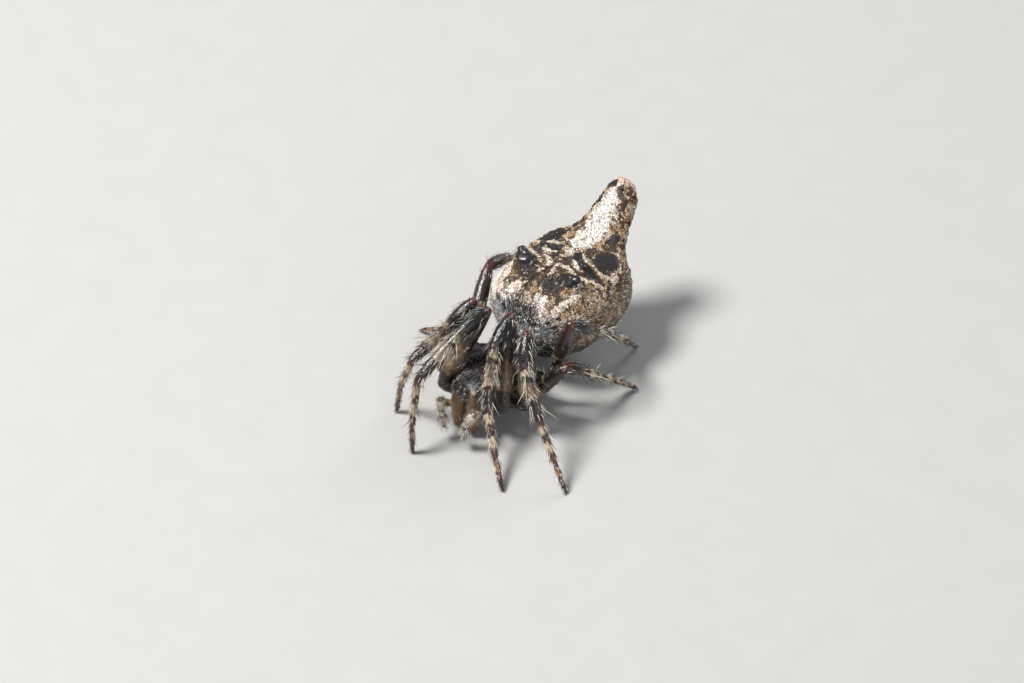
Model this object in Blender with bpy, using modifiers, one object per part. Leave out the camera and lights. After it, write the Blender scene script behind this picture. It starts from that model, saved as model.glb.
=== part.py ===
"""A Cyclosa spider as a still model at life size, standing on its eight feet.

The spider faces -Y, its left side is +X and the floor is z = 0. Sizes here are in millimetres, and
places are measured from the floor point under the eyes. place() turns a place into metres and
shifts it, so that the middle of the whole animal's box is over the origin.
"""
import math

import bmesh
import bpy
import numpy as np
from mathutils import Matrix, Vector

MM = 0.001
BOX_MIDDLE = Vector((0.1593, 2.8796, 0.0))
GAP = 0.10
EYE_GAP = 0.03
MERGE_DISTANCE = 0.0005
TINY_EDGES = (0.010, 0.006, 0.004, 0.002)
ON_PLANE = 1e-7
SHARP_ANGLE = math.radians(50)
# Round caps of a turned piece: how far past the joint, and how wide, as shares of the radius there
START_CAP = ((-0.52, 0.38), (-0.30, 0.76))
END_CAP = ((0.45, 0.82), (0.80, 0.45))

# Legs: the lengths of femur, patella, tibia and metatarsus for each pair, front to back.
# The tarsus is as long as it needs to be to reach the floor.
SEGMENT_LENGTHS = {
    1: (2.49, 1.02, 1.65, 1.33),
    2: (2.23, 0.89, 1.43, 1.25),
    3: (1.27, 0.61, 0.87, 0.78),
    4: (2.15, 0.77, 1.20, 1.22),
}
# Where each coxa leaves the sternum, and where the femur starts, on the left side
COXA_ROOTS = {1: (0.30, 0.62, 0.85), 2: (0.35, 1.02, 0.85), 3: (0.35, 1.45, 0.85), 4: (0.32, 1.88, 0.80)}
FEMUR_STARTS = {1: (0.95, 0.42, 1.02), 2: (1.36, 0.98, 0.95), 3: (1.26, 1.60, 0.90), 4: (1.38, 2.32, 0.85)}
TROCHANTER_LENGTH = 0.30
# The pose: for femur, patella, tibia, metatarsus and tarsus the heading in degrees, turned outward
# from straight ahead, and then how steeply each one rises
POSE = {
    (1, "left"): ((-155, 6, 25, 47, 50), (52, -21, -46, -41, -38)),
    (1, "right"): ((-146, 12, 18, -16, -46), (59, -10, -32, -67, -86)),
    (2, "left"): ((-147, 29, 56, 66, 66), (80, -37, -45, -50, -49)),
    (2, "right"): ((-145, 28, 12, 92, 41), (66, -37, -16, -71, -83)),
    (3, "left"): ((118, 156, 168, 154, 145), (50, -36, -43, -38, -38)),
    (3, "right"): ((151, 98, 128, 113, 90), (66, -71, -47, -38, -32)),
    (4, "left"): ((108, 154, 173, -177, -169), (79, -36, -41, -49, -47)),
    (4, "right"): ((163, -177, 171, 175, 176), (35, -18, -38, -45, -44)),
}
# Half the thickness of each segment at its start, middle and end
SEGMENT_RADII = {
    "femur": (0.20, 0.26, 0.21),
    "patella": (0.22, 0.25, 0.21),
    "tibia": (0.21, 0.25, 0.20),
    "metatarsus": (0.19, 0.18, 0.15),
    "tarsus": (0.15, 0.13, 0.09),
}
# How near to the middle's thickness a segment is a quarter and three quarters of the way along
SWELLING = 0.6
SLIMNESS = {1: 1.0, 2: 1.0, 3: 0.92, 4: 0.94}
COXA_RADII = (0.31, 0.235)
COXA_END_BEVEL = (0.06, 0.85)
TROCHANTER_RADII = (0.20, 0.22, 0.21)
FOOT_HEIGHT = 0.08
LEG_SIDES = 10
TWIST = 0.23

# Cephalothorax: along y, its half width, the height of its widest line, its top and its bottom
BODY_Y = (-0.02, 0.12, 0.40, 0.75, 1.05, 1.35, 1.65, 1.95, 2.20, 2.42)
BODY_HALF_WIDTH = (0.34, 0.42, 0.49, 0.58, 0.80, 0.95, 0.99, 0.90, 0.68, 0.30)
BODY_WIDEST = (1.32, 1.34, 1.34, 1.22, 1.12, 1.08, 1.06, 1.06, 1.08, 1.10)
BODY_TOP = (1.42, 1.54, 1.66, 1.62, 1.58, 1.70, 1.74, 1.66, 1.48, 1.28)
BODY_BOTTOM = (1.22, 1.20, 1.10, 0.68, 0.58, 0.55, 0.55, 0.58, 0.66, 0.92)
BODY_STATIONS = 22
BODY_SIDES = 24
# The two rings that round off the face: how far ahead of the first station, and how large
FACE_RINGS = ((0.06, 0.55), (0.0, 0.85))
MEDIAN_EYE_MOUND = ((0.0, 0.08, 1.47), 0.14)
LATERAL_EYE_MOUND = ((0.30, 0.17, 1.42), 0.12)
EYE_RADIUS = 0.068
BALL_SEGMENTS = 12
BALL_RINGS = 8
EYES = {
    "eye_front_median": (0.100, -0.060, 1.500),
    "eye_rear_median": (0.068, 0.000, 1.605),
    "eye_front_lateral": (0.335, 0.045, 1.470),
    "eye_rear_lateral": (0.370, 0.165, 1.550),
}
PEDICEL = ((0.0, 2.20, 1.10), (0.0, 2.47, 1.17), 0.17)
PEDICEL_SIDES = 12

# Mouthparts, on the left side
CHELICERA_TOP = (0.25, 0.11, 1.30)
CHELICERA_TIP = (0.22, 0.02, 0.20)
CHELICERA_RADII = (0.16, 0.195, 0.20, 0.17, 0.12)
CHELICERA_SIDES = 14
PALP_COXA = ((0.22, 0.68, 0.74), (0.49, 0.31, 0.66), 0.16)
PALP_JOINTS = ((0.62, 0.05, 0.72), (0.54, -0.28, 1.16), (0.40, -0.42, 0.88), (0.30, -0.46, 0.45))
PALP_RADII = (0.13, 0.135, 0.125, 0.06)
PALP_TROCHANTER_RADII = (0.11, 0.125, 0.13)
PALP_SWELLING = 0.01

# Abdomen with its tail, measured back from the pedicel along its own axis, which is turned to the left
ABDOMEN_START = (0.0, 2.50)
ABDOMEN_YAW = 6.0
ABDOMEN_T = (0.00, 0.25, 0.50, 0.85, 1.25, 1.70, 2.15, 2.60, 3.00, 3.20, 3.40, 3.65, 4.00, 4.40, 4.76)
ABDOMEN_HALF_WIDTH = (
    0.75, 1.10, 1.35, 1.58, 1.67, 1.67, 1.67, 1.65, 1.54, 1.37, 1.05, 0.79, 0.65, 0.54, 0.46
)
ABDOMEN_WIDEST = (1.75, 1.82, 1.85, 1.84, 1.82, 1.84, 1.88, 1.94, 2.04, 2.20, 2.44, 2.80, 3.18, 3.57, 3.85)
ABDOMEN_TOP = (2.16, 2.48, 2.69, 2.86, 2.96, 3.02, 3.04, 3.02, 3.01, 3.03, 3.11, 3.32, 3.67, 4.06, 4.33)
ABDOMEN_BOTTOM = (1.15, 0.84, 0.66, 0.52, 0.48, 0.50, 0.54, 0.62, 0.82, 1.20, 1.74, 2.30, 2.75, 3.17, 3.42)
UPPER_FULLNESS = 2.12
# The fullness of the underside at the front, and from this far back on
LOWER_FULLNESS = (1.60, 2.50)
LOWER_FULLNESS_T = (0.0, 3.0)
ABDOMEN_STATIONS = 34
ABDOMEN_SIDES = 28
ABDOMEN_FRONT_ROUNDING = 0.45
TAIL_TIP_ROUNDING = 0.35
TAIL_RISE = 33.0
TAIL_CUT_AT = (3.20, 2.95)
# Humps: place along the axis, distance of the tip to each side, its height, radius at the foot
HUMPS = (
    (1.45, 0.92, 3.22, 0.38),
    (2.13, 0.74, 3.11, 0.34),
    (2.82, 0.98, 2.88, 0.32),
)
# The line midway between the humps lies this far left of the abdomen's own middle
HUMP_MIDDLE = -0.09
# The foot of a hump lies this far below its tip, this far ahead of it and this much nearer the middle
HUMP_ROOT_DEPTH = 0.75
HUMP_LEAN = 0.10
HUMP_ROOT_SHARE = 0.75
# Along a hump: how far before its tip, and its radius there as a share of the foot's
HUMP_SHAPE = ((0.30, 0.82), (0.08, 0.48), (0.0, 0.22))
HUMP_SIDES = 12
# Spinnerets: place of their disc along the abdomen, and the disc's profile going down
SPINNERETS_AT = 2.15
SPINNERET_DISC = ((-0.02, 0.26), (0.06, 0.28), (0.12, 0.22))
DISC_SIDES = 14
# Each pair: how far behind the disc's middle, how far aside, radius at the foot, length
SPINNERET_PAIRS = ((-0.13, 0.10, 0.095, 0.30), (0.02, 0.06, 0.06, 0.21), (0.14, 0.10, 0.08, 0.285))
SPINNERET_DEPTH = 0.04
# How far a tip lies beyond its foot, as shares of the foot's own distances from the disc's middle
SPINNERET_SPREAD = (0.3, 0.5)
SPINNERET_SHAPE = ((0.0, 1.0), (0.6, 0.9), (1.0, 0.45))
SPINNERET_SIDES = 8

COLOURS = {
    "carapace": ((0.030, 0.026, 0.026), 0.45),
    "abdomen": ((0.42, 0.36, 0.30), 0.55),
    "tail": ((0.55, 0.46, 0.36), 0.55),
    "leg": ((0.30, 0.22, 0.17), 0.50),
    "mouth": ((0.14, 0.09, 0.04), 0.40),
    "palp": ((0.40, 0.34, 0.26), 0.50),
    "eye": ((0.008, 0.008, 0.010), 0.10),
    "spinneret": ((0.10, 0.07, 0.05), 0.50),
}


def remove_all_objects():
    for old in list(bpy.data.objects):
        bpy.data.objects.remove(old, do_unlink=True)


def new_collection(name):
    made = bpy.data.collections.new(name)
    bpy.context.scene.collection.children.link(made)
    return made


def material_for(name):
    colour, roughness = COLOURS[name]
    made = bpy.data.materials.new(name)
    made.use_nodes = True
    shader = made.node_tree.nodes["Principled BSDF"]
    shader.inputs["Base Color"].default_value = (*colour, 1.0)
    shader.inputs["Roughness"].default_value = roughness
    shader.inputs["Metallic"].default_value = 0.0
    return made


def place(point):
    """A place in millimetres from under the eyes, as metres from the model's origin."""
    return (Vector(point) - BOX_MIDDLE) * MM


def object_from(name, shape, collection):
    """Makes an object of a bmesh, with its faces pointing out."""
    bmesh.ops.recalc_face_normals(shape, faces=shape.faces)
    mesh = bpy.data.meshes.new(name)
    shape.to_mesh(mesh)
    shape.free()
    made = bpy.data.objects.new(name, mesh)
    collection.objects.link(made)
    return made


def evaluated_copy(source):
    graph = bpy.context.evaluated_depsgraph_get()
    return bpy.data.meshes.new_from_object(source.evaluated_get(graph))


def curve_value(at, places, values):
    """Reads a smooth curve through a few stations, without overshoot between them."""
    places = np.asarray(places, float)
    values = np.asarray(values, float)
    steps = np.diff(places)
    slopes = np.diff(values) / steps
    tangents = np.zeros(len(values))
    tangents[0] = slopes[0]
    tangents[-1] = slopes[-1]
    for i in range(1, len(values) - 1):
        if slopes[i - 1] * slopes[i] > 0:
            tangents[i] = 2 * slopes[i - 1] * slopes[i] / (slopes[i - 1] + slopes[i])
    i = int(np.clip(np.searchsorted(places, at) - 1, 0, len(steps) - 1))
    s = (at - places[i]) / steps[i]
    start = (1 + 2 * s) * (1 - s) ** 2 * values[i] + s * (1 - s) ** 2 * steps[i] * tangents[i]
    end = s * s * (3 - 2 * s) * values[i + 1] + s * s * (s - 1) * steps[i] * tangents[i + 1]
    return start + end


def lofted(name, sections, collection):
    """Joins rings of points, front to back, and closes both ends with a fan."""
    shape = bmesh.new()
    rings = [[shape.verts.new(point) for point in ring] for ring in sections]
    count = len(rings[0])
    for ahead, behind in zip(rings, rings[1:]):
        for i in range(count):
            k = (i + 1) % count
            shape.faces.new((ahead[i], ahead[k], behind[k], behind[i]))
    for ring in (rings[0], rings[-1]):
        middle = shape.verts.new(sum((v.co for v in ring), Vector()) / count)
        for i in range(count):
            shape.faces.new((ring[i], ring[(i + 1) % count], middle))
    return object_from(name, shape, collection)


def oval_ring(centre, across, half_width, above, below, sides, upper=2.2, lower=2.2):
    """An upright ring: a rounded oval with its own height and fullness above and below its widest line."""
    ring = []
    for i in range(sides):
        angle = 2 * math.pi * i / sides
        c, s = math.cos(angle), math.sin(angle)
        height, fullness = (above, upper) if s > 0 else (below, lower)
        side = math.copysign(abs(c) ** (2 / fullness), c)
        rise = math.copysign(abs(s) ** (2 / fullness), s)
        ring.append(centre + across * (half_width * side * MM) + Vector((0, 0, height * rise * MM)))
    return ring


def turned(name, start, end, profile, sides, collection, twist=0.0):
    """Turns a profile of (distance along, radius) pairs round the line from start to end.

    The twist sets the corners of neighbours apart, so that a union meets no faces lying in one another.
    """
    axis = end - start
    mesh = bpy.data.meshes.new(name)
    points = [(0.0, 0.0, profile[-1][0] * MM)]
    points += [(radius * MM, 0.0, along * MM) for along, radius in reversed(profile)]
    points.append((0.0, 0.0, profile[0][0] * MM))
    mesh.from_pydata(points, [(i, i + 1) for i in range(len(points) - 1)], [])
    outline = bpy.data.objects.new(name, mesh)
    collection.objects.link(outline)
    screw = outline.modifiers.new("turn", "SCREW")
    screw.steps = sides
    screw.render_steps = sides
    screw.use_merge_vertices = True
    screw.merge_threshold = ON_PLANE
    shape = bmesh.new()
    turned_mesh = evaluated_copy(outline)
    shape.from_mesh(turned_mesh)
    bpy.data.objects.remove(outline)
    bpy.data.meshes.remove(turned_mesh)
    bmesh.ops.remove_doubles(shape, verts=shape.verts, dist=ON_PLANE)
    turn = Vector((0, 0, 1)).rotation_difference(axis).to_matrix().to_4x4()
    turn = turn @ Matrix.Rotation(twist, 4, "Z")
    bmesh.ops.transform(shape, matrix=Matrix.Translation(start) @ turn, verts=shape.verts)
    return object_from(name, shape, collection)


def rounded_profile(length, radii, round_start=True, round_end=True):
    """A profile with radii spread evenly along a length, and round ends that pass the joints."""
    profile = []
    if round_start:
        profile += [(along * radii[0], wide * radii[0]) for along, wide in START_CAP]
    profile += [(length * i / (len(radii) - 1), radius) for i, radius in enumerate(radii)]
    if round_end:
        profile += [(length + along * radii[-1], wide * radii[-1]) for along, wide in END_CAP]
    return profile


def ball(name, centre, radius, collection):
    shape = bmesh.new()
    bmesh.ops.create_uvsphere(shape, u_segments=BALL_SEGMENTS, v_segments=BALL_RINGS, radius=radius * MM)
    bmesh.ops.translate(shape, vec=place(centre), verts=shape.verts)
    return object_from(name, shape, collection)


def keep_largest_surface(shape):
    """Removes every closed surface but the one with most faces."""
    unseen = set(shape.faces)
    groups = []
    while unseen:
        group = set()
        waiting = [unseen.pop()]
        while waiting:
            face = waiting.pop()
            group.add(face)
            for edge in face.edges:
                for other in edge.link_faces:
                    if other in unseen:
                        unseen.remove(other)
                        waiting.append(other)
        groups.append(group)
    groups.sort(key=len)
    for group in groups[:-1]:
        bmesh.ops.delete(shape, geom=list(group), context="FACES")


def without_tiny_edges(shape):
    """Merges corners that a Boolean left almost together, as far as the surface stays closed."""
    for distance in TINY_EDGES:
        trial = shape.copy()
        bmesh.ops.remove_doubles(trial, verts=trial.verts, dist=distance * MM)
        keep_largest_surface(trial)
        if all(edge.is_manifold for edge in trial.edges):
            shape.free()
            return trial
        trial.free()
    return shape


def combined(name, pieces, operation, collection):
    """One Boolean of the first piece with the others, applied, with the pieces removed.

    Every piece is closed, so the manifold solver serves, and unlike the exact one it leaves no
    slivers at the joints and gives the same corners each time.
    """
    helpers = bpy.data.collections.new(name + "_pieces")
    for piece in pieces[1:]:
        helpers.objects.link(piece)
    joint = pieces[0].modifiers.new("join", "BOOLEAN")
    joint.operation = operation
    joint.operand_type = "COLLECTION"
    joint.collection = helpers
    joint.solver = "MANIFOLD"
    shape = bmesh.new()
    mesh = evaluated_copy(pieces[0])
    shape.from_mesh(mesh)
    bpy.data.meshes.remove(mesh)
    for piece in pieces:
        bpy.data.objects.remove(piece)
    bpy.data.collections.remove(helpers)
    bmesh.ops.remove_doubles(shape, verts=shape.verts, dist=MERGE_DISTANCE * MM)
    keep_largest_surface(shape)
    return object_from(name, without_tiny_edges(shape), collection)


def cut_flat(target, point, normal):
    """Cuts away what lies beyond a plane, on the side its normal points to, and closes the cut."""
    shape = bmesh.new()
    shape.from_mesh(target.data)
    everything = shape.verts[:] + shape.edges[:] + shape.faces[:]
    cut = bmesh.ops.bisect_plane(
        shape, geom=everything, dist=ON_PLANE, plane_co=point, plane_no=normal, clear_outer=True
    )
    rim = [item for item in cut["geom_cut"] if isinstance(item, bmesh.types.BMEdge)]
    bmesh.ops.edgenet_fill(shape, edges=rim)
    bmesh.ops.recalc_face_normals(shape, faces=shape.faces)
    shape.to_mesh(target.data)
    shape.free()


def finished(target, colour):
    target.data.materials.clear()
    target.data.materials.append(material_for(colour))
    target.data.shade_smooth()
    target.data.set_sharp_from_angle(angle=SHARP_ANGLE)
    return target


def mirrored(point, side):
    return Vector((point[0] * (1 if side == "left" else -1), point[1], point[2]))


def leg_joints(pair, side):
    """The joints of one leg, from the femur's start to the foot, in millimetres."""
    outward = 1 if side == "left" else -1
    joints = [mirrored(FEMUR_STARTS[pair], side)]
    headings, rises = POSE[pair, side]
    for i, (heading, rise) in enumerate(zip(headings, rises)):
        turn, lift = math.radians(heading), math.radians(rise)
        level = math.cos(lift)
        direction = Vector((outward * math.sin(turn) * level, -math.cos(turn) * level, math.sin(lift)))
        if i < len(SEGMENT_LENGTHS[pair]):
            length = SEGMENT_LENGTHS[pair][i]
        else:
            length = (joints[-1].z - FOOT_HEIGHT) / -direction.z
        joints.append(joints[-1] + direction * length)
    return joints


def hip_line(pair, side):
    """Where a coxa starts, and where it ends and its leg begins."""
    root = mirrored(COXA_ROOTS[pair], side)
    start = mirrored(FEMUR_STARTS[pair], side)
    return root, start - (start - root).normalized() * TROCHANTER_LENGTH


def make_leg(pair, side, workshop, spider):
    joints = leg_joints(pair, side)
    root, hip = hip_line(pair, side)
    slim = SLIMNESS[pair]
    out = (joints[0] - hip).normalized()
    beginning = hip + out * GAP
    reach = (joints[0] - beginning).length
    pieces = [
        turned(
            "trochanter", place(beginning), place(joints[0]),
            rounded_profile(reach, TROCHANTER_RADII, round_start=False), LEG_SIDES, workshop,
        )
    ]
    for i, (segment, radii) in enumerate(SEGMENT_RADII.items()):
        start, end = joints[i], joints[i + 1]
        low, middle, high = (slim * radius for radius in radii)
        rising = SWELLING * middle + (1 - SWELLING) * low
        falling = SWELLING * middle + (1 - SWELLING) * high
        spread = (low, rising, middle, falling, high)
        pieces.append(
            turned(
                segment, place(start), place(end),
                rounded_profile((end - start).length, spread), LEG_SIDES, workshop, TWIST * (i + 1),
            )
        )
    leg = combined("leg_%d_%s" % (pair, side), pieces, "UNION", spider)
    cut_flat(leg, Vector((0, 0, 0)), Vector((0, 0, -1)))
    return finished(leg, "leg")


def body_section(y, grow):
    half_width = curve_value(y, BODY_Y, BODY_HALF_WIDTH) + grow
    widest = curve_value(y, BODY_Y, BODY_WIDEST)
    above = curve_value(y, BODY_Y, BODY_TOP) + grow - widest
    below = widest - curve_value(y, BODY_Y, BODY_BOTTOM) + grow
    return half_width, widest, above, below


def body_pieces(grow, workshop):
    """The cephalothorax, its eye mounds, its eight coxae and the pedicel, all grown by a distance."""
    first, last = BODY_Y[0], BODY_Y[-1]
    across = Vector((1, 0, 0))
    sections = []
    for ahead, size in FACE_RINGS:
        half_width, widest, above, below = body_section(first, grow)
        centre = place((0, first - grow - ahead, widest))
        half_width, above, below = (size * reach for reach in (half_width, above, below))
        sections.append(oval_ring(centre, across, half_width, above, below, BODY_SIDES))
    for i in range(BODY_STATIONS):
        share = i / (BODY_STATIONS - 1)
        y = first + (last - first) * share
        half_width, widest, above, below = body_section(y, grow)
        centre = place((0, y + grow * (2 * share - 1), widest))
        sections.append(oval_ring(centre, across, half_width, above, below, BODY_SIDES))
    pieces = [lofted("body", sections, workshop)]
    mound, size = MEDIAN_EYE_MOUND
    pieces.append(ball("median_mound", mound, size + grow, workshop))
    start, end, radius = PEDICEL
    profile = ((0.0, radius + grow), ((Vector(end) - Vector(start)).length + grow, radius + grow))
    pieces.append(turned("pedicel", place(start), place(end), profile, PEDICEL_SIDES, workshop))
    for side in ("left", "right"):
        mound, size = LATERAL_EYE_MOUND
        pieces.append(ball("lateral_mound", mirrored(mound, side), size + grow, workshop))
        root, end, radius = PALP_COXA
        root, end = mirrored(root, side), mirrored(end, side)
        length = (end - root).length + grow
        profile = rounded_profile(length, (radius + grow, radius + grow), round_end=False)
        pieces.append(turned("palp_coxa", place(root), place(end), profile, LEG_SIDES, workshop))
        for pair in COXA_ROOTS:
            root, hip = hip_line(pair, side)
            length = (hip - root).length + grow
            thick, thin = (radius + grow for radius in COXA_RADII)
            bevel, narrowing = COXA_END_BEVEL
            profile = ((0.0, thick), (length - bevel, thin), (length, narrowing * thin))
            pieces.append(turned("coxa", place(root), place(hip), profile, LEG_SIDES, workshop))
    return pieces


def make_chelicera(side, workshop, spider):
    start, end = mirrored(CHELICERA_TOP, side), mirrored(CHELICERA_TIP, side)
    profile = rounded_profile((end - start).length, CHELICERA_RADII)
    fang_base = turned("basal_segment", place(start), place(end), profile, CHELICERA_SIDES, workshop)
    body = combined("grown_body", body_pieces(GAP, workshop), "UNION", workshop)
    chelicera = combined("chelicera_" + side, [fang_base, body], "DIFFERENCE", spider)
    return finished(chelicera, "mouth")


def make_palp(side, workshop, spider):
    joints = [mirrored(point, side) for point in PALP_JOINTS]
    coxa_end = mirrored(PALP_COXA[1], side)
    out = (joints[0] - coxa_end).normalized()
    start = coxa_end + out * GAP
    profile = rounded_profile((joints[0] - start).length, PALP_TROCHANTER_RADII, round_start=False)
    pieces = [turned("palp_trochanter", place(start), place(joints[0]), profile, LEG_SIDES, workshop)]
    for i in range(len(joints) - 1):
        length = (joints[i + 1] - joints[i]).length
        middle = 0.5 * (PALP_RADII[i] + PALP_RADII[i + 1]) + PALP_SWELLING
        radii = (PALP_RADII[i], middle, PALP_RADII[i + 1])
        profile = rounded_profile(length, radii)
        ends = (place(joints[i]), place(joints[i + 1]))
        pieces.append(turned("palp_segment", *ends, profile, LEG_SIDES, workshop, TWIST * (i + 1)))
    whole = combined("whole_palp", pieces, "UNION", workshop)
    body = combined("grown_body", body_pieces(GAP, workshop), "UNION", workshop)
    palp = combined("palp_" + side, [whole, body], "DIFFERENCE", spider)
    return finished(palp, "palp")


def make_eye(name, centre, workshop, spider):
    whole = ball("whole_eye", centre, EYE_RADIUS, workshop)
    body = combined("grown_body", body_pieces(EYE_GAP, workshop), "UNION", workshop)
    return finished(combined(name, [whole, body], "DIFFERENCE", spider), "eye")


def abdomen_place(t, across, height):
    """A place on the abdomen from its distance behind the pedicel, to the left and above the floor."""
    yaw = math.radians(ABDOMEN_YAW)
    x = ABDOMEN_START[0] + t * math.sin(yaw) + across * math.cos(yaw)
    y = ABDOMEN_START[1] + t * math.cos(yaw) - across * math.sin(yaw)
    return Vector((x, y, height))


def end_rounding(distance, radius):
    if distance >= radius:
        return 1.0
    return math.sqrt(max(0.0, 1 - (1 - distance / radius) ** 2))


def whole_abdomen(workshop):
    """The abdomen and its tail as one form, with the humps on its back."""
    yaw = math.radians(ABDOMEN_YAW)
    across = Vector((math.cos(yaw), -math.sin(yaw), 0))
    length = ABDOMEN_T[-1]
    sections = []
    for i in range(ABDOMEN_STATIONS):
        share = (i + 0.5) / ABDOMEN_STATIONS
        t = length * (0.5 - 0.5 * math.cos(math.pi * share))
        size = end_rounding(t, ABDOMEN_FRONT_ROUNDING) * end_rounding(length - t, TAIL_TIP_ROUNDING)
        widest = curve_value(t, ABDOMEN_T, ABDOMEN_WIDEST)
        half_width = curve_value(t, ABDOMEN_T, ABDOMEN_HALF_WIDTH) * size
        above = (curve_value(t, ABDOMEN_T, ABDOMEN_TOP) - widest) * size
        below = (widest - curve_value(t, ABDOMEN_T, ABDOMEN_BOTTOM)) * size
        lower = curve_value(min(t, LOWER_FULLNESS_T[-1]), LOWER_FULLNESS_T, LOWER_FULLNESS)
        centre = place(abdomen_place(t, 0, widest))
        ring = oval_ring(centre, across, half_width, above, below, ABDOMEN_SIDES, UPPER_FULLNESS, lower)
        sections.append(ring)
    pieces = [lofted("abdomen_form", sections, workshop)]
    for t, aside, height, radius in HUMPS:
        for sign in (1, -1):
            top = abdomen_place(t, HUMP_MIDDLE + sign * aside, height)
            foot_aside = HUMP_MIDDLE + sign * aside * HUMP_ROOT_SHARE
            foot = abdomen_place(t - HUMP_LEAN, foot_aside, height - HUMP_ROOT_DEPTH)
            rise = (top - foot).length
            profile = [(0.0, radius)] + [(rise - before, radius * size) for before, size in HUMP_SHAPE]
            pieces.append(turned("hump", place(foot), place(top), profile, HUMP_SIDES, workshop))
    return combined("whole_abdomen", pieces, "UNION", workshop)


def make_abdomen(workshop, spider):
    """Parts the whole form into abdomen and tail with a thin cut square to the tail."""
    whole = whole_abdomen(workshop)
    rise = math.radians(TAIL_RISE)
    cut_t, cut_height = TAIL_CUT_AT
    level = abdomen_place(1, 0, 0) - abdomen_place(0, 0, 0)
    back = (level * math.cos(rise) + Vector((0, 0, math.sin(rise)))).normalized()
    point = abdomen_place(cut_t, 0, cut_height)
    tail = whole.copy()
    tail.data = whole.data.copy()
    tail.name = "abdomen_tail"
    whole.name = "abdomen"
    spider.objects.link(tail)
    spider.objects.link(whole)
    workshop.objects.unlink(whole)
    cut_flat(whole, place(point), back)
    cut_flat(tail, place(point + back * GAP), -back)
    return finished(whole, "abdomen"), finished(tail, "tail")


def make_spinnerets(workshop, spider):
    """Three pairs of short cones on one low disc, under the middle of the abdomen."""
    bottom = curve_value(SPINNERETS_AT, ABDOMEN_T, ABDOMEN_BOTTOM)
    base = abdomen_place(SPINNERETS_AT, 0, bottom - GAP)
    below = base + Vector((0, 0, -1))
    pieces = [turned("disc", place(base), place(below), SPINNERET_DISC, DISC_SIDES, workshop)]
    for along, aside, radius, reach in SPINNERET_PAIRS:
        for sign in (1, -1):
            start = base + Vector((sign * aside, along, -SPINNERET_DEPTH))
            outward, backward = SPINNERET_SPREAD
            end = start + Vector((sign * outward * aside, backward * along, -reach))
            length = (end - start).length
            profile = [(length * share, radius * size) for share, size in SPINNERET_SHAPE]
            pieces.append(turned("spinneret", place(start), place(end), profile, SPINNERET_SIDES, workshop))
    return finished(combined("spinnerets", pieces, "UNION", spider), "spinneret")


def main():
    remove_all_objects()
    spider = new_collection("cyclosa_spider")
    workshop = new_collection("workshop")
    finished(combined("cephalothorax", body_pieces(0.0, workshop), "UNION", spider), "carapace")
    for name, centre in EYES.items():
        for side in ("left", "right"):
            make_eye("%s_%s" % (name, side), mirrored(centre, side), workshop, spider)
    for side in ("left", "right"):
        make_chelicera(side, workshop, spider)
        make_palp(side, workshop, spider)
        for pair in SEGMENT_LENGTHS:
            make_leg(pair, side, workshop, spider)
    make_abdomen(workshop, spider)
    make_spinnerets(workshop, spider)
    bpy.data.collections.remove(workshop)


main()
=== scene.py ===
"""A Cyclosa spider as a still model at life size: its skin, markings, bristles and eyes.

Shapes are worked out in millimetres from the floor point under the eyes, and place() turns them
into the frame's metres. The spider faces -Y and its left side is +X.
"""
import math

import bpy
import numpy as np
from mathutils import Matrix


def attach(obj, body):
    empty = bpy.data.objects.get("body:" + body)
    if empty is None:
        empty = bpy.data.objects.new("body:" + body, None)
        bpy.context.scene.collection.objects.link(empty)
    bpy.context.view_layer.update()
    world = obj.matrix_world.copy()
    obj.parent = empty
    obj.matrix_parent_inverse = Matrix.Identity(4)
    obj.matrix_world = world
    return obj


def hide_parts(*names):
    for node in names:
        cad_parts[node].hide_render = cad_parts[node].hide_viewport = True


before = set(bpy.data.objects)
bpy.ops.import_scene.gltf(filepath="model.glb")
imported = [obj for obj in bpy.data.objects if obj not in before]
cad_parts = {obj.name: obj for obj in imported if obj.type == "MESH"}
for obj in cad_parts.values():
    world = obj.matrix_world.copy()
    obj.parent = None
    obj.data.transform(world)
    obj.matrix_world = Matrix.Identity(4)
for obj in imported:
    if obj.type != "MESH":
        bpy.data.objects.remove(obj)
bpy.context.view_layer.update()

MM = 0.001
BOX_MIDDLE = np.array([0.1593, 2.8796, 0.0])
UP = np.array([0.0, 0.0, 1.0])
SIDES = {"left": 1.0, "right": -1.0}

# Legs, as in the solids: segment lengths, hips, and headings and rises in degrees
SEGMENT_LENGTHS = {
    1: (2.49, 1.02, 1.65, 1.33),
    2: (2.23, 0.89, 1.43, 1.25),
    3: (1.27, 0.61, 0.87, 0.78),
    4: (2.15, 0.77, 1.20, 1.22),
}
COXA_ROOTS = {1: (0.30, 0.62, 0.85), 2: (0.35, 1.02, 0.85), 3: (0.35, 1.45, 0.85), 4: (0.32, 1.88, 0.80)}
FEMUR_STARTS = {1: (0.95, 0.42, 1.02), 2: (1.36, 0.98, 0.95), 3: (1.26, 1.60, 0.90), 4: (1.38, 2.32, 0.85)}
TROCHANTER_LENGTH = 0.30
POSE = {
    (1, "left"): ((-155, 6, 25, 47, 50), (52, -21, -46, -41, -38)),
    (1, "right"): ((-146, 12, 18, -16, -46), (59, -10, -32, -67, -86)),
    (2, "left"): ((-147, 29, 56, 66, 66), (80, -37, -45, -50, -49)),
    (2, "right"): ((-145, 28, 12, 92, 41), (66, -37, -16, -71, -83)),
    (3, "left"): ((118, 156, 168, 154, 145), (50, -36, -43, -38, -38)),
    (3, "right"): ((151, 98, 128, 113, 90), (66, -71, -47, -38, -32)),
    (4, "left"): ((108, 154, 173, -177, -169), (79, -36, -41, -49, -47)),
    (4, "right"): ((163, -177, 171, 175, 176), (35, -18, -38, -45, -44)),
}
FOOT_HEIGHT = 0.08
SEGMENTS = ("femur", "patella", "tibia", "metatarsus", "tarsus")
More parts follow.
